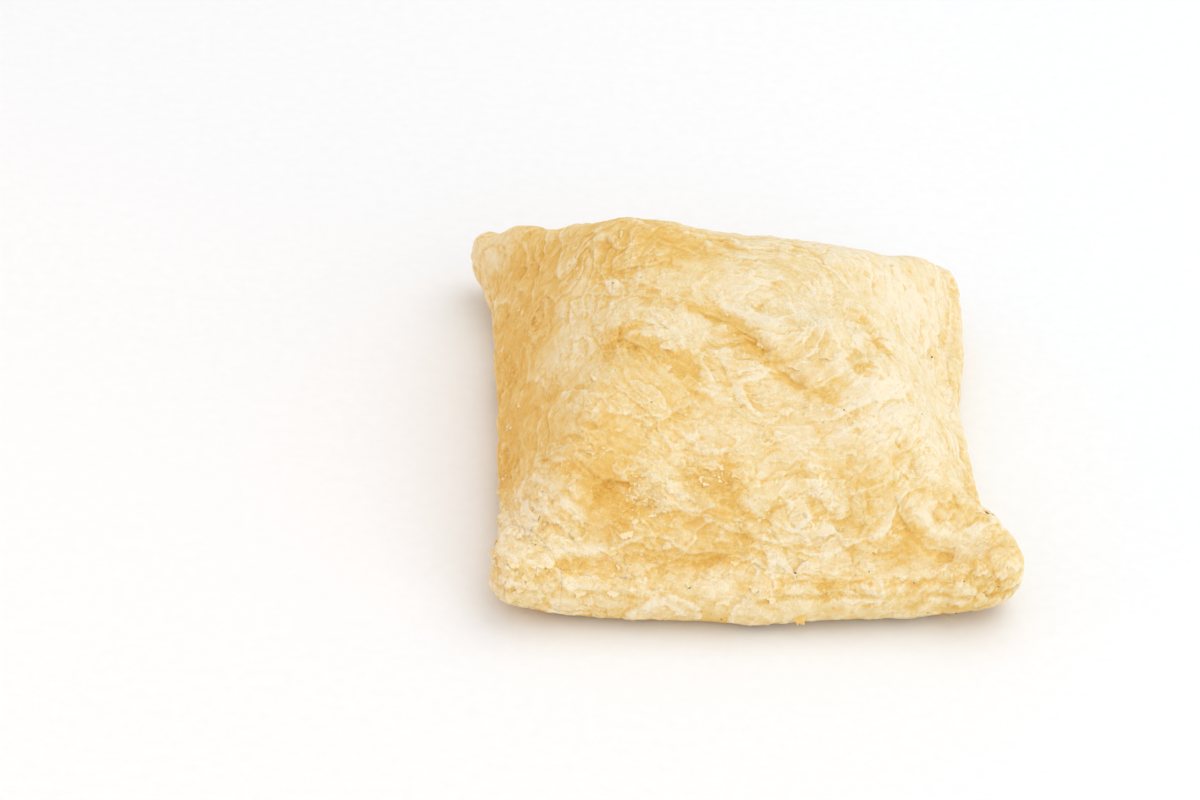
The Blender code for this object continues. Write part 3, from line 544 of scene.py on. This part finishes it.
def crust(points, normals, p, q):
    """The crust's height over the smooth form, how baked it is with painted shade added in its hollows and
    on its darker side, and how starchy its torn rims are.
    """
    height = mottled(points, 0.0, LUMPINESS)
    bake = mottled(points, EVEN_BAKE, BAKE_MOTTLE)
    rim = np.zeros(len(points))
    ring = HALF_SIDE * (abs(p) ** 3 + abs(q) ** 3) ** (1 / 3) + 0.7 * (TOP_HEIGHT - points[:, 2])
    ring = ring + 1.5 * noise(points, 9.0, 71)
    # Puffed blisters with golden creases between them.
    for size, amount, gilt, seed in BULGES:
        bent = points + 0.45 * size * noises(points, 0.8 * size, seed + 11)
        puffed = abs(noise(bent * [0.85, 1.0, 1.0], size, seed))
        clear = 0.25 + 0.75 * smoothstep(-0.3, 0.5, noise(points, 3.0 * size, seed + 14))
        height += amount * clear * (np.minimum(puffed, 0.35) ** 0.7 - 0.25)
        bake += gilt * clear * (1 - smoothstep(0.0, 0.22, puffed)) - 0.3 * gilt * clear
    # Leaves lapped down from the top, and plates of them that broke.
    scaly = 1 + spots(points, SCALY)
    for size, amount, gilt, seed in LEAVES:
        leaf, shows = lapped_leaves(points, ring, size, seed)
        shows = shows * scaly
        height += amount * shows * (leaf**1.5 * (1 - smoothstep(0.92, 1.0, leaf)) - 0.35)
        # Gold just below each torn edge: the lower leaf's own colour, darkest at the edge, where it is
        # painted shade.
        bake += gilt * shows * (1 - smoothstep(0.0, 0.55, leaf))
        rim = np.maximum(rim, shows * smoothstep(0.80, 0.93, leaf) * (1 - smoothstep(0.96, 1.0, leaf)))
    flaky = 0.30 + 0.5 * noise(points, 8.0, 203) + spots(points, FLAKY)
    flaky = smoothstep(0.0, 1.0, flaky)
    for size, amount, contrast, seed in PLATES:
        along = np.stack([ring, 0.6 * points[:, 0], 0.6 * points[:, 1]], -1)
        kind, way, edge = plates(along + 0.3 * size * noises(points, 0.5 * size, seed + 11), size, seed)
        tilt = way[:, 0] * np.cos(44 * kind) + way[:, 1] * np.sin(44 * kind)
        height += amount * flaky * (0.6 * kind + 0.7 * tilt) - 0.12 * amount * flaky * (edge < 0.08)
        bake += contrast * flaky * (0.5 - kind)
        rim = np.maximum(rim, flaky * smoothstep(0.1, 0.4, tilt) * (1 - smoothstep(0.05, 0.2, edge)))
    size, amount = BLISTERS
    blister = np.clip(noise(points, size, 151) - 0.05, 0, 1)
    blister = blister * smoothstep(-0.2, 0.5, noise(points, 9.0, 152))
    height += amount * blister
    bake += -0.10 * blister
    # Cracks, creases and folds, with ragged lines.
    ragged = points + 0.45 * noises(points, 1.3, 91)
    ragged += 0.5 * noises(points, 3.5, 97)
    for shape in FOLDS.values():
        near, extra, golden, lip = fold(ragged, normals, shape)
        height[near] += extra
        bake[near] += GOLDEN_FOLDS * golden
        rim[near] = np.maximum(rim[near], lip)
    for x, y, z, radius, amount in LUMPS:
        height += amount * np.exp(-np.sum((points - [x, y, z]) ** 2, axis=1) / radius**2)
    # Bare golden patches with a torn edge round each.
    drift = points + 1.8 * noises(points, 3.0, 61)
    drift += 0.8 * noises(points, 1.1, 64)
    hollow = spots(drift, BARE_PATCHES)
    bare = smoothstep(0.34, 0.46, hollow + 0.10 * noise(points, 0.7, 67))
    height -= BARE_DEPTH * bare
    bake += bare * (0.04 + 0.08 * hollow) + 0.22 * hollow
    torn = smoothstep(0.25, 0.36, hollow) - bare
    rim = np.maximum(rim, 0.7 * torn * smoothstep(-0.3, 0.4, noise(points, 2.6, 68)))
    # Fine wrinkles along the sides, fanned out as pleats at one ear.
    grain = np.stack([ring, 0.13 * points[:, 0] + 0.1 * points[:, 2], 0.13 * points[:, 1]], -1)
    fibre = noise(grain, 0.8, 72)
    from_ear = points[:, :2] - PLEATED_EAR[:2]
    reach = np.linalg.norm(from_ear, axis=1)
    fan = np.arctan2(from_ear[:, 1], from_ear[:, 0]) * PLEATED_EAR[2]
    fan = np.stack([fan, 0.12 * reach, 0.1 * points[:, 2]], -1)
    pleats = noise(fan, 0.9, 74)
    pleated = np.exp(-((reach / PLEATED_EAR[2] / 1.2) ** 4))
    fibre = fibre * (1 - pleated) + 1.6 * pleats * pleated
    clear = (0.3 + 0.7 * smoothstep(-0.3, 0.5, noise(points, 7.0, 73))) * (1 - 0.6 * bare)
    height += WRINKLES * fibre * clear
    bake += -0.05 * fibre * clear
    # The seam round the hem, the browner foot below it, and a skirt where the dough spread on the tray.
    seam = np.exp(-(((points[:, 2] - SEAM_HEIGHT - noise(points, 9.0, 70)) / SEAM_WIDTH) ** 2))
    outward = 1 - smoothstep(0.25, 0.6, normals[:, 2])
    seam = seam * outward * (points[:, 2] < 14) * smoothstep(-0.6, 0.3, noise(points, 6.0, 96))
    height -= SEAM_DEPTH * seam
    # Spots of browning mixed with painted light and shade: a darker, more orange left flank and brow, and a
    # paler right side and top.
    bake += 0.2 * seam + sum(spots(points, [place]) for place in BROWNING_AND_PAINTED_LIGHT)
    bake += (0.26 + 0.2 * noise(points, 2.4, 144)) * (1 - smoothstep(0.5, 4.0, points[:, 2]))
    skirt = np.exp(-(((points[:, 2] - SKIRT_HEIGHT - 0.8 * noise(points, 7.0, 98)) / 0.8) ** 2)) * outward
    skirt = skirt * smoothstep(-0.7, -0.2, normals[:, 2])
    height = height * smoothstep(0.3, 2.6, points[:, 2]) + skirt * (0.25 + 0.9 * noise(points, 3.0, 99))
    grain = np.where((reach < PLEATED_EAR[2])[:, None], fan, grain)
    # Painted shade and light: hollows are tinted darker and more golden, as the warm shade inside the
    # dough, and ridges paler, as if more lit.
    painted_hollow_shade = HOLLOW_SHADE_TINT * np.clip(hollowed(height, 3), -0.08, 0.3)
    bake += painted_hollow_shade + 0.35 * HOLLOW_SHADE_TINT * np.clip(hollowed(height, 16), -0.1, 0.2)
    bake = np.minimum(bake, DEEP_BAKE + 0.45 * (bake - DEEP_BAKE))
    return height, {"bake": np.clip(bake, 0.0, 1.0), "rim": np.clip(rim, 0.0, 1.0), "grain": grain}


def keep_numbers(mesh, numbers):
    for title, values in numbers.items():
        single = values.ndim == 1
        layer = mesh.attributes.new(title, "FLOAT" if single else "FLOAT_VECTOR", "POINT")
        layer.data.foreach_set("value" if single else "vector", values.astype(np.float32).ravel())


def mesh_from(name, points, faces, numbers, normals=None):
    """A smooth mesh in metres with a number kept at each point."""
    mesh = bpy.data.meshes.new(name)
    mesh.from_pydata(((points + SHIFT) * MM).tolist(), [], faces.tolist())
    keep_numbers(mesh, numbers)
    mesh.shade_smooth()
    if normals is not None:
        mesh.normals_split_custom_set_from_vertices(normals.tolist())
    piece = bpy.data.objects.new(name, mesh)
    bpy.context.scene.collection.objects.link(piece)
    return piece


a, b = square_grid(CRUST_GRID)
smooth, p, q = wrapped(a, b, UNDER_TURN, top_height)
smooth, p, q = smooth.reshape(-1, 3), p.ravel(), q.ravel()
quads = grid_quads(CRUST_GRID)
raised, numbers = crust(smooth, normals_of(smooth, quads), p, q)
crust_points = smooth + normals_of(smooth, quads) * raised[:, None]
crust_normals = normals_of(crust_points, quads)

CRUST_COLOURS = [  # (how baked, painted shade included, colour), from pale starch to deep brown
    (0.0, (0.92, 0.81, 0.60)), (0.28, (0.87, 0.69, 0.37)), (0.55, (0.84, 0.57, 0.18)),
    (0.80, (0.78, 0.45, 0.08)), (1.0, (0.64, 0.29, 0.04)),
]


def give(node, inputs):
    """Joins a node's inputs to sockets or sets their values."""
    for title, value in inputs.items():
        if isinstance(value, bpy.types.NodeSocket):
            node.id_data.links.new(value, node.inputs[title])
        else:
            node.inputs[title].default_value = value
    return node


def added(tree, kind, inputs, **settings):
    """A new node of a tree, with its settings made before its inputs are given."""
    node = tree.nodes.new(kind)
    for title, value in settings.items():
        setattr(node, title, value)
    return give(node, inputs)


def baked_colour_group():
    """Tints crust by how baked it is, painted shade included, with fine bubbles and pores, thin fibres and
    soft blotches.
    """
    group = bpy.data.node_groups.new("Baked colour", "ShaderNodeTree")
    for title, low, high in (("Bake", -1.0, 2.0), ("Rim", 0.0, 1.0), ("Bubble tint", 0.0, 1.0)):
        socket = group.interface.new_socket(title, in_out="INPUT", socket_type="NodeSocketFloat")
        socket.min_value, socket.max_value = low, high
    group.interface.new_socket("Grain", in_out="INPUT", socket_type="NodeSocketVector")
    for title, kind in (("Colour", "Color"), ("Height", "Float"), ("Roughness", "Float")):
        group.interface.new_socket(title, in_out="OUTPUT", socket_type="NodeSocket" + kind)
    given = added(group, "NodeGroupInput", {}).outputs
    place = added(group, "ShaderNodeTexCoord", {}).outputs["Object"]

    def grains(scale, detail, roughness=0.6, vector=place):
        inputs = {"Scale": scale, "Detail": detail, "Roughness": roughness, "Vector": vector}
        return added(group, "ShaderNodeTexNoise", inputs).outputs["Fac"]

    def sum_of(first, factor, second):
        """first * factor + second."""
        inputs = {0: first, 1: factor, 2: second}
        return added(group, "ShaderNodeMath", inputs, operation="MULTIPLY_ADD").outputs[0]

    bubbles, blotches, pores = grains(1700.0, 3.0), grains(420.0, 5.0), grains(4200.0, 2.0)
    fibres = grains(2.4, 3.0, 0.5, given["Grain"])
    chips = added(group, "ShaderNodeTexVoronoi", {"Scale": 1100.0, "Vector": place})
    chip = added(group, "ShaderNodeSeparateColor", {"Color": chips.outputs["Color"]})
    uneven = sum_of(bubbles, 1.6, sum_of(pores, 1.1, sum_of(blotches, 1.3, -2.75)))
    uneven = sum_of(chip.outputs["Red"], 0.35, sum_of(fibres, 1.2, uneven))
    tone = sum_of(uneven, given["Bubble tint"], given["Bake"])
    ramp = added(group, "ShaderNodeValToRGB", {"Fac": sum_of(given["Rim"], -0.20, tone)})
    stops = ramp.color_ramp.elements
    stops[0].color = (*CRUST_COLOURS[0][1], 1.0)
    stops[1].color = (*CRUST_COLOURS[-1][1], 1.0)
    for position, colour in CRUST_COLOURS[1:-1]:
        stops.new(position).color = (*colour, 1.0)
    added(group, "NodeGroupOutput", {
        "Colour": ramp.outputs["Color"],
        "Height": sum_of(bubbles, 0.8, sum_of(pores, 0.3, sum_of(fibres, 0.7, blotches))),
        "Roughness": sum_of(blotches, 0.35, 0.38),
    })
    return group


def crust_material(name, bubble_tint, bump_depth, glow):
    """Baked dough: matt and a little translucent, so that light glows in its cracks and thin rims."""
    material = bpy.data.materials.new(name)
    material.use_nodes = True
    tree = material.node_tree
    inputs = {"Bubble tint": bubble_tint}
    for title, output in (("Bake", "Fac"), ("Rim", "Fac"), ("Grain", "Vector")):
        kept = added(tree, "ShaderNodeAttribute", {}, attribute_name=title.lower())
        inputs[title] = kept.outputs[output]
    colour = added(tree, "ShaderNodeGroup", inputs, node_tree=baked_colour).outputs
    bump = added(tree, "ShaderNodeBump", {
        "Strength": 0.72, "Distance": bump_depth, "Height": colour["Height"],
    })
    give(tree.nodes["Principled BSDF"], {
        "Base Color": colour["Colour"],
        "Roughness": colour["Roughness"],
        "Subsurface Weight": glow,
        "Subsurface Radius": (1.0, 0.7, 0.4),
        "Subsurface Scale": 0.0003,
        "Specular IOR Level": 0.35,
        "Normal": bump.outputs["Normal"],
    })
    return material


baked_colour = baked_colour_group()
crust_finish = crust_material("Baked crust", bubble_tint=0.20, bump_depth=0.0006, glow=0.35)
index = np.arange((CRUST_GRID + 1) ** 2).reshape(CRUST_GRID + 1, CRUST_GRID + 1)
half = CRUST_GRID // 2
quarters = {
    "crust_front_left": index[:half + 1, :half + 1],
    "crust_front_right": index[half:, :half + 1],
    "crust_back_left": index[:half + 1, half:],
    "crust_back_right": index[half:, half:],
}
for name, part in quarters.items():
    part = part.ravel()
    kept = {title: values[part] for title, values in numbers.items()}
    quarter = mesh_from(name, crust_points[part], grid_quads(half), kept, crust_normals[part])
    quarter.data.materials.append(crust_finish)
    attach(quarter, "root")
    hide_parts("pastry")

# The loose flakes: the outermost leaf shattered as it dried, and thin chips of it still hang on by one edge
# with their torn ends lifted. Crumbs of them lie between.
FLAKE_KINDS = 4
FLAKE_ROWS, FLAKE_COLUMNS = 5, 10
FLAKE_THICKNESS = 0.05  # of a flake one millimetre long
FLAKE_SUNK, FLAKE_LIFT = 0.18, 0.20
CRUMBLY = [  # where the leaves have crumbled to small chips: (x, y, z, radius, amount)
    (-21.5, -47.5, 23.5, 3.4, 1), (-45.5, -60.5, 9.5, 4, 0.5), (-27, -57.5, 12, 1.8, 0.8),
    (-5, -22, 37.5, 2, 0.3), (17, -47, 22.5, 2.2, 0.5), (9.5, -59, 8, 2.2, 0.7), (-43, -45, 18, 3, 0.35),
    (-1, -50.5, 20, 2.2, 0.6),
]
GUIDE_STEP = 4  # the guide keeps every fourth row of the crust's grid
OUTWARD_AT = 55  # this far from the middle, loose pieces point outwards more than down


def flake(seed):
    """One closed chip, one millimetre long, held at x = 0 and ragged and lifted at its far end."""
    draw = np.random.default_rng(seed)
    u, v = np.meshgrid(np.linspace(0, 1, FLAKE_ROWS), np.linspace(-1, 1, FLAKE_COLUMNS), indexing="ij")
    ragged = 1 - 0.45 * abs(v) ** 2.5 + 0.17 * draw.uniform(-1, 1, FLAKE_COLUMNS)
    x = u * ragged - 0.4
    y = v * (0.75 + 0.1 * draw.uniform(-1, 1, (FLAKE_ROWS, 1))) + 0.15 * draw.uniform(-1, 1) * u
    z = FLAKE_LIFT * u - FLAKE_SUNK - 0.08 * v**2 + 0.03 * draw.uniform(-1, 1, u.shape)
    thickness = FLAKE_THICKNESS * (1.1 - 0.7 * u) * (1 - 0.6 * abs(v) ** 3)
    upper = np.stack([x, y, z + thickness], -1).reshape(-1, 3)
    lower = np.stack([x, y, z - 0.4 * thickness], -1).reshape(-1, 3)
    index = np.arange(u.size).reshape(u.shape)
    top = np.stack([index[:-1, :-1], index[1:, :-1], index[1:, 1:], index[:-1, 1:]], -1).reshape(-1, 4)
    loop = np.concatenate([index[:-1, 0], index[-1, :-1], index[:0:-1, -1], index[0, :0:-1]])
    onward = np.roll(loop, -1)
    side = np.stack([loop, loop + u.size, onward + u.size, onward], -1)
    faces = np.concatenate([top, top[:, ::-1] + u.size, side])
    rim = np.tile(0.5 * smoothstep(0.45, 1.0, np.maximum(u, abs(v) ** 3)).ravel(), 2)
    corners = np.concatenate([upper, lower])
    return corners, faces, {"rim": rim, "grain": corners * [0.6, 3.0, 1.0]}


def crumb(seed):
    """One closed crumb about one millimetre across."""
    draw = np.random.default_rng(seed)
    golden = (1 + 5**0.5) / 2
    card = np.array([(-1, golden, 0), (1, golden, 0), (-1, -golden, 0), (1, -golden, 0)])
    corners = np.concatenate([card, np.roll(card, 1, axis=1), np.roll(card, -1, axis=1)])
    corners *= 0.26 * draw.uniform(0.7, 1.3, (12, 1)) * [1.0, 1.0, 0.7]
    faces = [
        (0, 11, 5), (0, 5, 1), (0, 1, 7), (0, 7, 10), (0, 10, 11), (1, 5, 9), (5, 11, 4), (11, 10, 2),
        (10, 7, 6), (7, 1, 8), (3, 9, 4), (3, 4, 2), (3, 2, 6), (3, 6, 8), (3, 8, 9), (4, 9, 5),
        (2, 4, 11), (6, 2, 10), (8, 6, 7), (9, 8, 1),
    ]
    return corners, np.array(faces), {"rim": np.full(12, 0.5), "grain": corners * 2.0}


def scatter_tree():
    """Sets pieces picked from a collection on a guide, as thick as it says, pointing down its slopes."""
    tree = bpy.data.node_groups.new("Scatter down the slopes", "GeometryNodeTree")
    wanted = {
        "Geometry": "Geometry", "Kinds": "Collection", "Finish": "Material", "Where": "String",
        "Density": "Float", "Smallest": "Float", "Largest": "Float", "Turn": "Float",
        "Palest": "Float", "Darkest": "Float", "Seed": "Int",
    }
    for title, kind in wanted.items():
        tree.interface.new_socket(title, in_out="INPUT", socket_type="NodeSocket" + kind)
    tree.interface.new_socket("Geometry", in_out="OUTPUT", socket_type="NodeSocketGeometry")
    given = added(tree, "NodeGroupInput", {}).outputs

    def kept(title, kind):
        inputs = {"Name": title}
        return added(tree, "GeometryNodeInputNamedAttribute", inputs, data_type=kind).outputs["Attribute"]

    def times(first, second):
        return added(tree, "ShaderNodeMath", {0: first, 1: second}, operation="MULTIPLY").outputs[0]

    def drawn(low, high, extra_seed):
        """A number drawn for each place between two others."""
        seed = added(tree, "ShaderNodeMath", {0: given["Seed"], 1: extra_seed}).outputs[0]
        return added(tree, "FunctionNodeRandomValue", {2: low, 3: high, "Seed": seed}).outputs[1]

    places = added(tree, "GeometryNodeDistributePointsOnFaces", {
        "Mesh": given["Geometry"],
        "Density": times(kept(given["Where"], "FLOAT"), given["Density"]),
        "Seed": given["Seed"],
    }).outputs
    downhill = added(tree, "FunctionNodeAlignRotationToVector", {
        "Rotation": places["Rotation"], "Vector": kept("downhill", "FLOAT_VECTOR"),
    }, axis="X", pivot_axis="Z")
    askew = added(tree, "FunctionNodeAxisAngleToRotation", {
        "Axis": (0.0, 0.0, 1.0), "Angle": drawn(times(given["Turn"], -1.0), given["Turn"], 1),
    })
    turned = added(tree, "FunctionNodeRotateRotation", {
        "Rotation": downhill.outputs["Rotation"], "Rotate By": askew.outputs["Rotation"],
    }, rotation_space="LOCAL")
    kinds = added(tree, "GeometryNodeCollectionInfo", {
        "Collection": given["Kinds"], "Separate Children": True, "Reset Children": True,
    })
    placed = added(tree, "GeometryNodeInstanceOnPoints", {
        "Points": places["Points"],
        "Instance": kinds.outputs["Instances"],
        "Pick Instance": True,
        "Rotation": turned.outputs["Rotation"],
        "Scale": drawn(given["Smallest"], given["Largest"], 2),
    })
    tinted = added(tree, "GeometryNodeStoreNamedAttribute", {
        "Geometry": placed.outputs["Instances"],
        "Name": "bake",
        "Value": drawn(given["Palest"], given["Darkest"], 3),
    }, data_type="FLOAT", domain="INSTANCE")
    real = added(tree, "GeometryNodeRealizeInstances", {"Geometry": tinted.outputs["Geometry"]})
    finished = added(tree, "GeometryNodeSetMaterial", {
        "Geometry": real.outputs["Geometry"], "Material": given["Finish"],
    })
    added(tree, "NodeGroupOutput", {"Geometry": finished.outputs["Geometry"]})
    return tree


def scattered(name, guide, shapes, settings):
    """One real mesh of many pieces set over the guide; the single pieces go afterwards."""
    kinds = bpy.data.collections.new(name + " kinds")
    for number, (points, faces, numbers) in enumerate(shapes):
        kinds.objects.link(object_of(f"{name} {number}", points, faces, numbers))
    modifier = guide.modifiers.new("scatter", "NODES")
    modifier.node_group = scatter
    settings = {"Kinds": kinds, **settings}
    for socket in scatter.interface.items_tree:
        if socket.in_out == "INPUT" and socket.name in settings:
            modifier[socket.identifier] = settings[socket.name]
    guide.update_tag()
    bpy.context.view_layer.update()
    dressed = guide.evaluated_get(bpy.context.evaluated_depsgraph_get())
    mesh = bpy.data.meshes.new_from_object(dressed)
    mesh.name = name
    guide.modifiers.remove(modifier)
    for single in list(kinds.objects):
        bpy.data.objects.remove(single)
    bpy.data.collections.remove(kinds)
    piece = bpy.data.objects.new(name, mesh)
    bpy.context.scene.collection.objects.link(piece)
    return piece


def object_of(name, points, faces, numbers):
    """A small smooth mesh in metres, unplaced and unshifted."""
    mesh = bpy.data.meshes.new(name)
    mesh.from_pydata((points * MM).tolist(), [], faces.tolist())
    keep_numbers(mesh, numbers)
    mesh.shade_smooth()
    mesh.set_sharp_from_angle(angle=math.radians(40))
    return bpy.data.objects.new(name, mesh)


some = index[::GUIDE_STEP, ::GUIDE_STEP].ravel()
on_guide, away = crust_points[some], crust_normals[some]
slope = np.sign(on_guide) * (on_guide / OUTWARD_AT) ** 2
slope[:, 2] = -0.7
slope -= away * np.einsum("ij,ij->i", slope, away)[:, None]
flaky = 0.14 + 0.25 * noise(on_guide, 7.0, 401) + spots(on_guide, FLAKY)
flaky = np.clip(flaky, 0, 1) * smoothstep(1.0, 4.0, on_guide[:, 2])
crumbly = np.clip(spots(on_guide, CRUMBLY), 0, 1)
guide = mesh_from("guide", on_guide, grid_quads(CRUST_GRID // GUIDE_STEP),
                  {"flaky": flaky, "crumbly": crumbly, "downhill": slope})
scatter = scatter_tree()
flake_finish = crust_material("Thin flakes", bubble_tint=0.20, bump_depth=0.0002, glow=0.0)
# (piece, shape, its seed, where, pieces to the square metre, sizes, turn, how baked, seed of the places)
LOOSE = [
    ("flakes", flake, 410, "flaky", 60000.0, (0.8, 2.6), 1.0, (0.2, 0.5), 5),
    ("crumbs", crumb, 420, "flaky", 260000.0, (0.16, 0.42), 3.1, (0.2, 0.5), 6),
    ("chips", flake, 440, "crumbly", 2600000.0, (0.5, 1.3), 1.8, (0.15, 0.5), 7),
]
loose = []
for name, shape, first, where, density, sizes, turn, bakes, seed in LOOSE:
    loose.append(scattered(name, guide, [shape(first + k) for k in range(FLAKE_KINDS)], {
        "Finish": flake_finish, "Where": where, "Density": density, "Turn": turn, "Seed": seed,
        "Smallest": sizes[0], "Largest": sizes[1], "Palest": bakes[0], "Darkest": bakes[1],
    }))
bpy.data.objects.remove(guide)
for piece in loose:
    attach(piece, "root")

# The torn shreds: a few strips of the outer leaf that came loose where the hem was pressed shut, and
# hang from it by one end.
SHREDS = [  # (where it is held, which way it points, length, width, how baked)
    ((8, -60.4, 5), (0.45, -0.6, -0.9), 3, 1.8, 0.6), ((30.2, -58, 4.8), (0.5, -0.5, -0.8), 2, 1.2, 0.5),
    ((36.5, -57.2, 1.6), (0.9, -0.42, -0.05), 6, 0.5, 0.4),
    ((-50, -28.3, 7.5), (-0.8, -0.2, -0.5), 1.8, 2, 0.4),
    ((-50.4, -37.9, 7.5), (-0.8, -0.1, -0.6), 2, 2, 0.4),
    ((-50.8, -45.5, 8.5), (-0.8, -0.3, -0.5), 1.6, 1.8, 0.4),
    ((-51.5, -55.9, 13), (-0.9, -0.2, 0.3), 1.6, 1.7, 0.3),
    ((-51.8, -51.5, 11), (-0.9, 0.1, -0.3), 1.6, 1.6, 0.4),
    ((-26.5, -58.8, 11.5), (0.3, -0.8, 0.3), 2.2, 1.5, 0.2),
    ((-48.5, -62.5, 6.5), (-0.5, -0.7, -0.4), 1.4, 1.6, 0.3),
]
SHRED_CLEARANCE = 0.05  # over the table


def nearest_on_crust(place):
    return np.argmin(np.sum((crust_points - place) ** 2, axis=1))


points, faces, numbers = [], [], {"bake": [], "rim": [], "grain": []}
for number, (place, heading, length, width, baked) in enumerate(SHREDS):
    held = nearest_on_crust(place)
    ahead = np.array(heading) / np.linalg.norm(heading)
    beside = np.cross(crust_normals[held], ahead)
    beside /= np.linalg.norm(beside)
    corners, sides, kept = flake(450 + number)
    axes = np.stack([length * ahead, width * beside, np.cross(ahead, beside)])
    strip = crust_points[held] + corners @ axes
    strip[:, 2] = np.maximum(strip[:, 2], SHRED_CLEARANCE)
    points.append(strip)
    faces.append(sides + len(corners) * number)
    numbers["bake"].append(np.full(len(corners), baked))
    numbers["rim"].append(kept["rim"])
    numbers["grain"].append(kept["grain"])
shreds = mesh_from("shreds", np.concatenate(points), np.concatenate(faces),
                   {title: np.concatenate(values) for title, values in numbers.items()})
shreds.data.materials.append(flake_finish)
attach(shreds, "root")

# The scorched specks: dots of flour and fat that burnt dark on the hot crust, no bigger than grains of
# sand and baked fast to it.
SPECKS = [
    (-14, -60.6, 10.3), (-9.3, -61.5, 5), (-7.1, -61.1, 3.4), (6.9, -57.2, 11.9), (39.3, -57.2, 10.9),
    (39.2, -56.7, 3.6), (33.5, -57.8, 3.9), (43.3, -56.4, 4.7), (46.8, -57, 10.1), (-21.7, -33.2, 33.8),
    (-13.9, -18.1, 38), (0.3, -36.8, 32), (16.2, -33.2, 33.3), (32.8, -26.7, 28.4), (-9.5, -9.8, 38.5),
    (-27.3, 3.4, 36.4), (-34, 10.1, 31.9), (21.3, -56.3, 11.7), (30.1, -57.1, 10.6), (12.5, 30, 34),
    (41, 8, 17), (-20, 44, 15),
]
SPECK_SIZES = (0.3, 0.55)
SCORCHED_BROWN = (0.14, 0.06, 0.018, 1.0)

scorched = bpy.data.materials.new("Scorched specks")
scorched.use_nodes = True
give(scorched.node_tree.nodes["Principled BSDF"], {"Base Color": SCORCHED_BROWN, "Roughness": 0.6})
draw = np.random.default_rng(430)
points, faces = [], []
for number, place in enumerate(SPECKS):
    corners, sides, _ = crumb(431 + number)
    faces.append(sides + len(corners) * number)
    seat = crust_points[nearest_on_crust(place)]
    points.append(seat + corners * draw.uniform(*SPECK_SIZES) * draw.uniform(0.6, 1.2, 3))
specks = mesh_from("specks", np.concatenate(points), np.concatenate(faces), {})
specks.data.materials.append(scorched)
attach(specks, "root")

# The underside: the lower sheet of dough, pressed flat and browned evenly where it lay on the baking tray.
# It starts a little inside the hem, under the upper crust, so that no gap shows between them.
UNDER_GRID = 150
LOWER_TURN = -40.0  # how far up the hem the sheet goes, in degrees from level
INSET = 0.9
PIMPLES = [(2.2, 0.16, 301), (6.0, 0.2, 302), (1.0, 0.08, 305)]  # (size, height, seed)
TRAY_BAKE = 0.70
TRAY_MOTTLE = [(7.0, 0.18, 303), (2.5, 0.16, 304), (1.1, 0.12, 306)]  # (size, amount, seed)

a, b = square_grid(UNDER_GRID)
under, p, q = wrapped(a, b, LOWER_TURN, bottom_height)
under = under.reshape(-1, 3)
quads = grid_quads(UNDER_GRID)[:, ::-1]
outward = normals_of(under, quads)
inset = INSET * smoothstep(0.95, 0.99, np.maximum(abs(a), abs(b)).ravel())
pimples = mottled(under, 0.0, PIMPLES)
under = under + outward * (pimples * smoothstep(0.15, 1.5, under[:, 2]) - inset)[:, None]
browned = {
    "bake": mottled(under, TRAY_BAKE, TRAY_MOTTLE),
    "rim": np.zeros(len(under)),
    "grain": 0.5 * under,
}
lower_crust = mesh_from("lower_crust", under, quads, browned)
tray_finish = crust_material("Tray-browned crust", bubble_tint=0.22, bump_depth=0.0003, glow=0.2)
lower_crust.data.materials.append(tray_finish)
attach(lower_crust, "root")

# The table and the light: a white sweep of paper under a high soft light from the back right, with a
# weaker one from the front right and a little warm light bounced in low from the left.
FLOOR_SIZE = 6.0
PAPER_WHITES = ((0.86, 0.867, 0.878, 1.0), (0.90, 0.913, 0.93, 1.0))
ROOM_LIGHT = 0.80
LAMPS = [  # (name, size, power, place, what it is aimed at, colour), in metres and watts
    ("Soft window", 1.6, 6.75, (0.55, 0.35, 1.3), (0.0, 0.0, 0.0), (1.0, 1.0, 1.0)),
    ("Fill", 1.2, 4.4, (0.7, -0.95, 0.42), (0.0, 0.0, 0.02), (1.0, 1.0, 1.0)),
    ("Warm bounce", 0.3, 0.27, (-0.42, -0.12, 0.12), (-0.04, -0.02, 0.0), (1.0, 0.5, 0.18)),
]


def white_paper():
    material = bpy.data.materials.new("White paper")
    material.use_nodes = True
    tree = material.node_tree
    place = added(tree, "ShaderNodeTexCoord", {})
    fibre = added(tree, "ShaderNodeTexNoise", {"Scale": 400.0, "Vector": place.outputs["Object"]})
    tint = added(tree, "ShaderNodeValToRGB", {"Fac": fibre.outputs["Fac"]})
    for stop, white in zip(tint.color_ramp.elements, PAPER_WHITES):
        stop.color = white
    give(tree.nodes["Principled BSDF"], {"Base Color": tint.outputs["Color"], "Roughness": 0.7})
    return material


def lamp(name, size, power, place, aim, colour):
    light = bpy.data.lights.new(name, "AREA")
    light.color = colour
    light.shape = "DISK"
    light.size = size
    light.energy = power
    stand = bpy.data.objects.new(name, light)
    stand.location = place
    stand.rotation_euler = (Vector(aim) - Vector(place)).to_track_quat("-Z", "Y").to_euler()
    bpy.context.scene.collection.objects.link(stand)


paper = bpy.data.meshes.new("table")
half = FLOOR_SIZE / 2
corners = [(-half, -half, 0), (half, -half, 0), (half, half, 0), (-half, half, 0)]
paper.from_pydata(corners, [], [(0, 1, 2, 3)])
table = bpy.data.objects.new("table", paper)
bpy.context.scene.collection.objects.link(table)
paper.materials.append(white_paper())
for settings in LAMPS:
    lamp(*settings)
world = bpy.data.worlds.new("Bright room")
world.use_nodes = True
give(world.node_tree.nodes["Background"], {"Color": (1.0, 1.0, 1.0, 1.0), "Strength": ROOM_LIGHT})
bpy.context.scene.world = world
bpy.context.scene.view_settings.view_transform = "Standard"
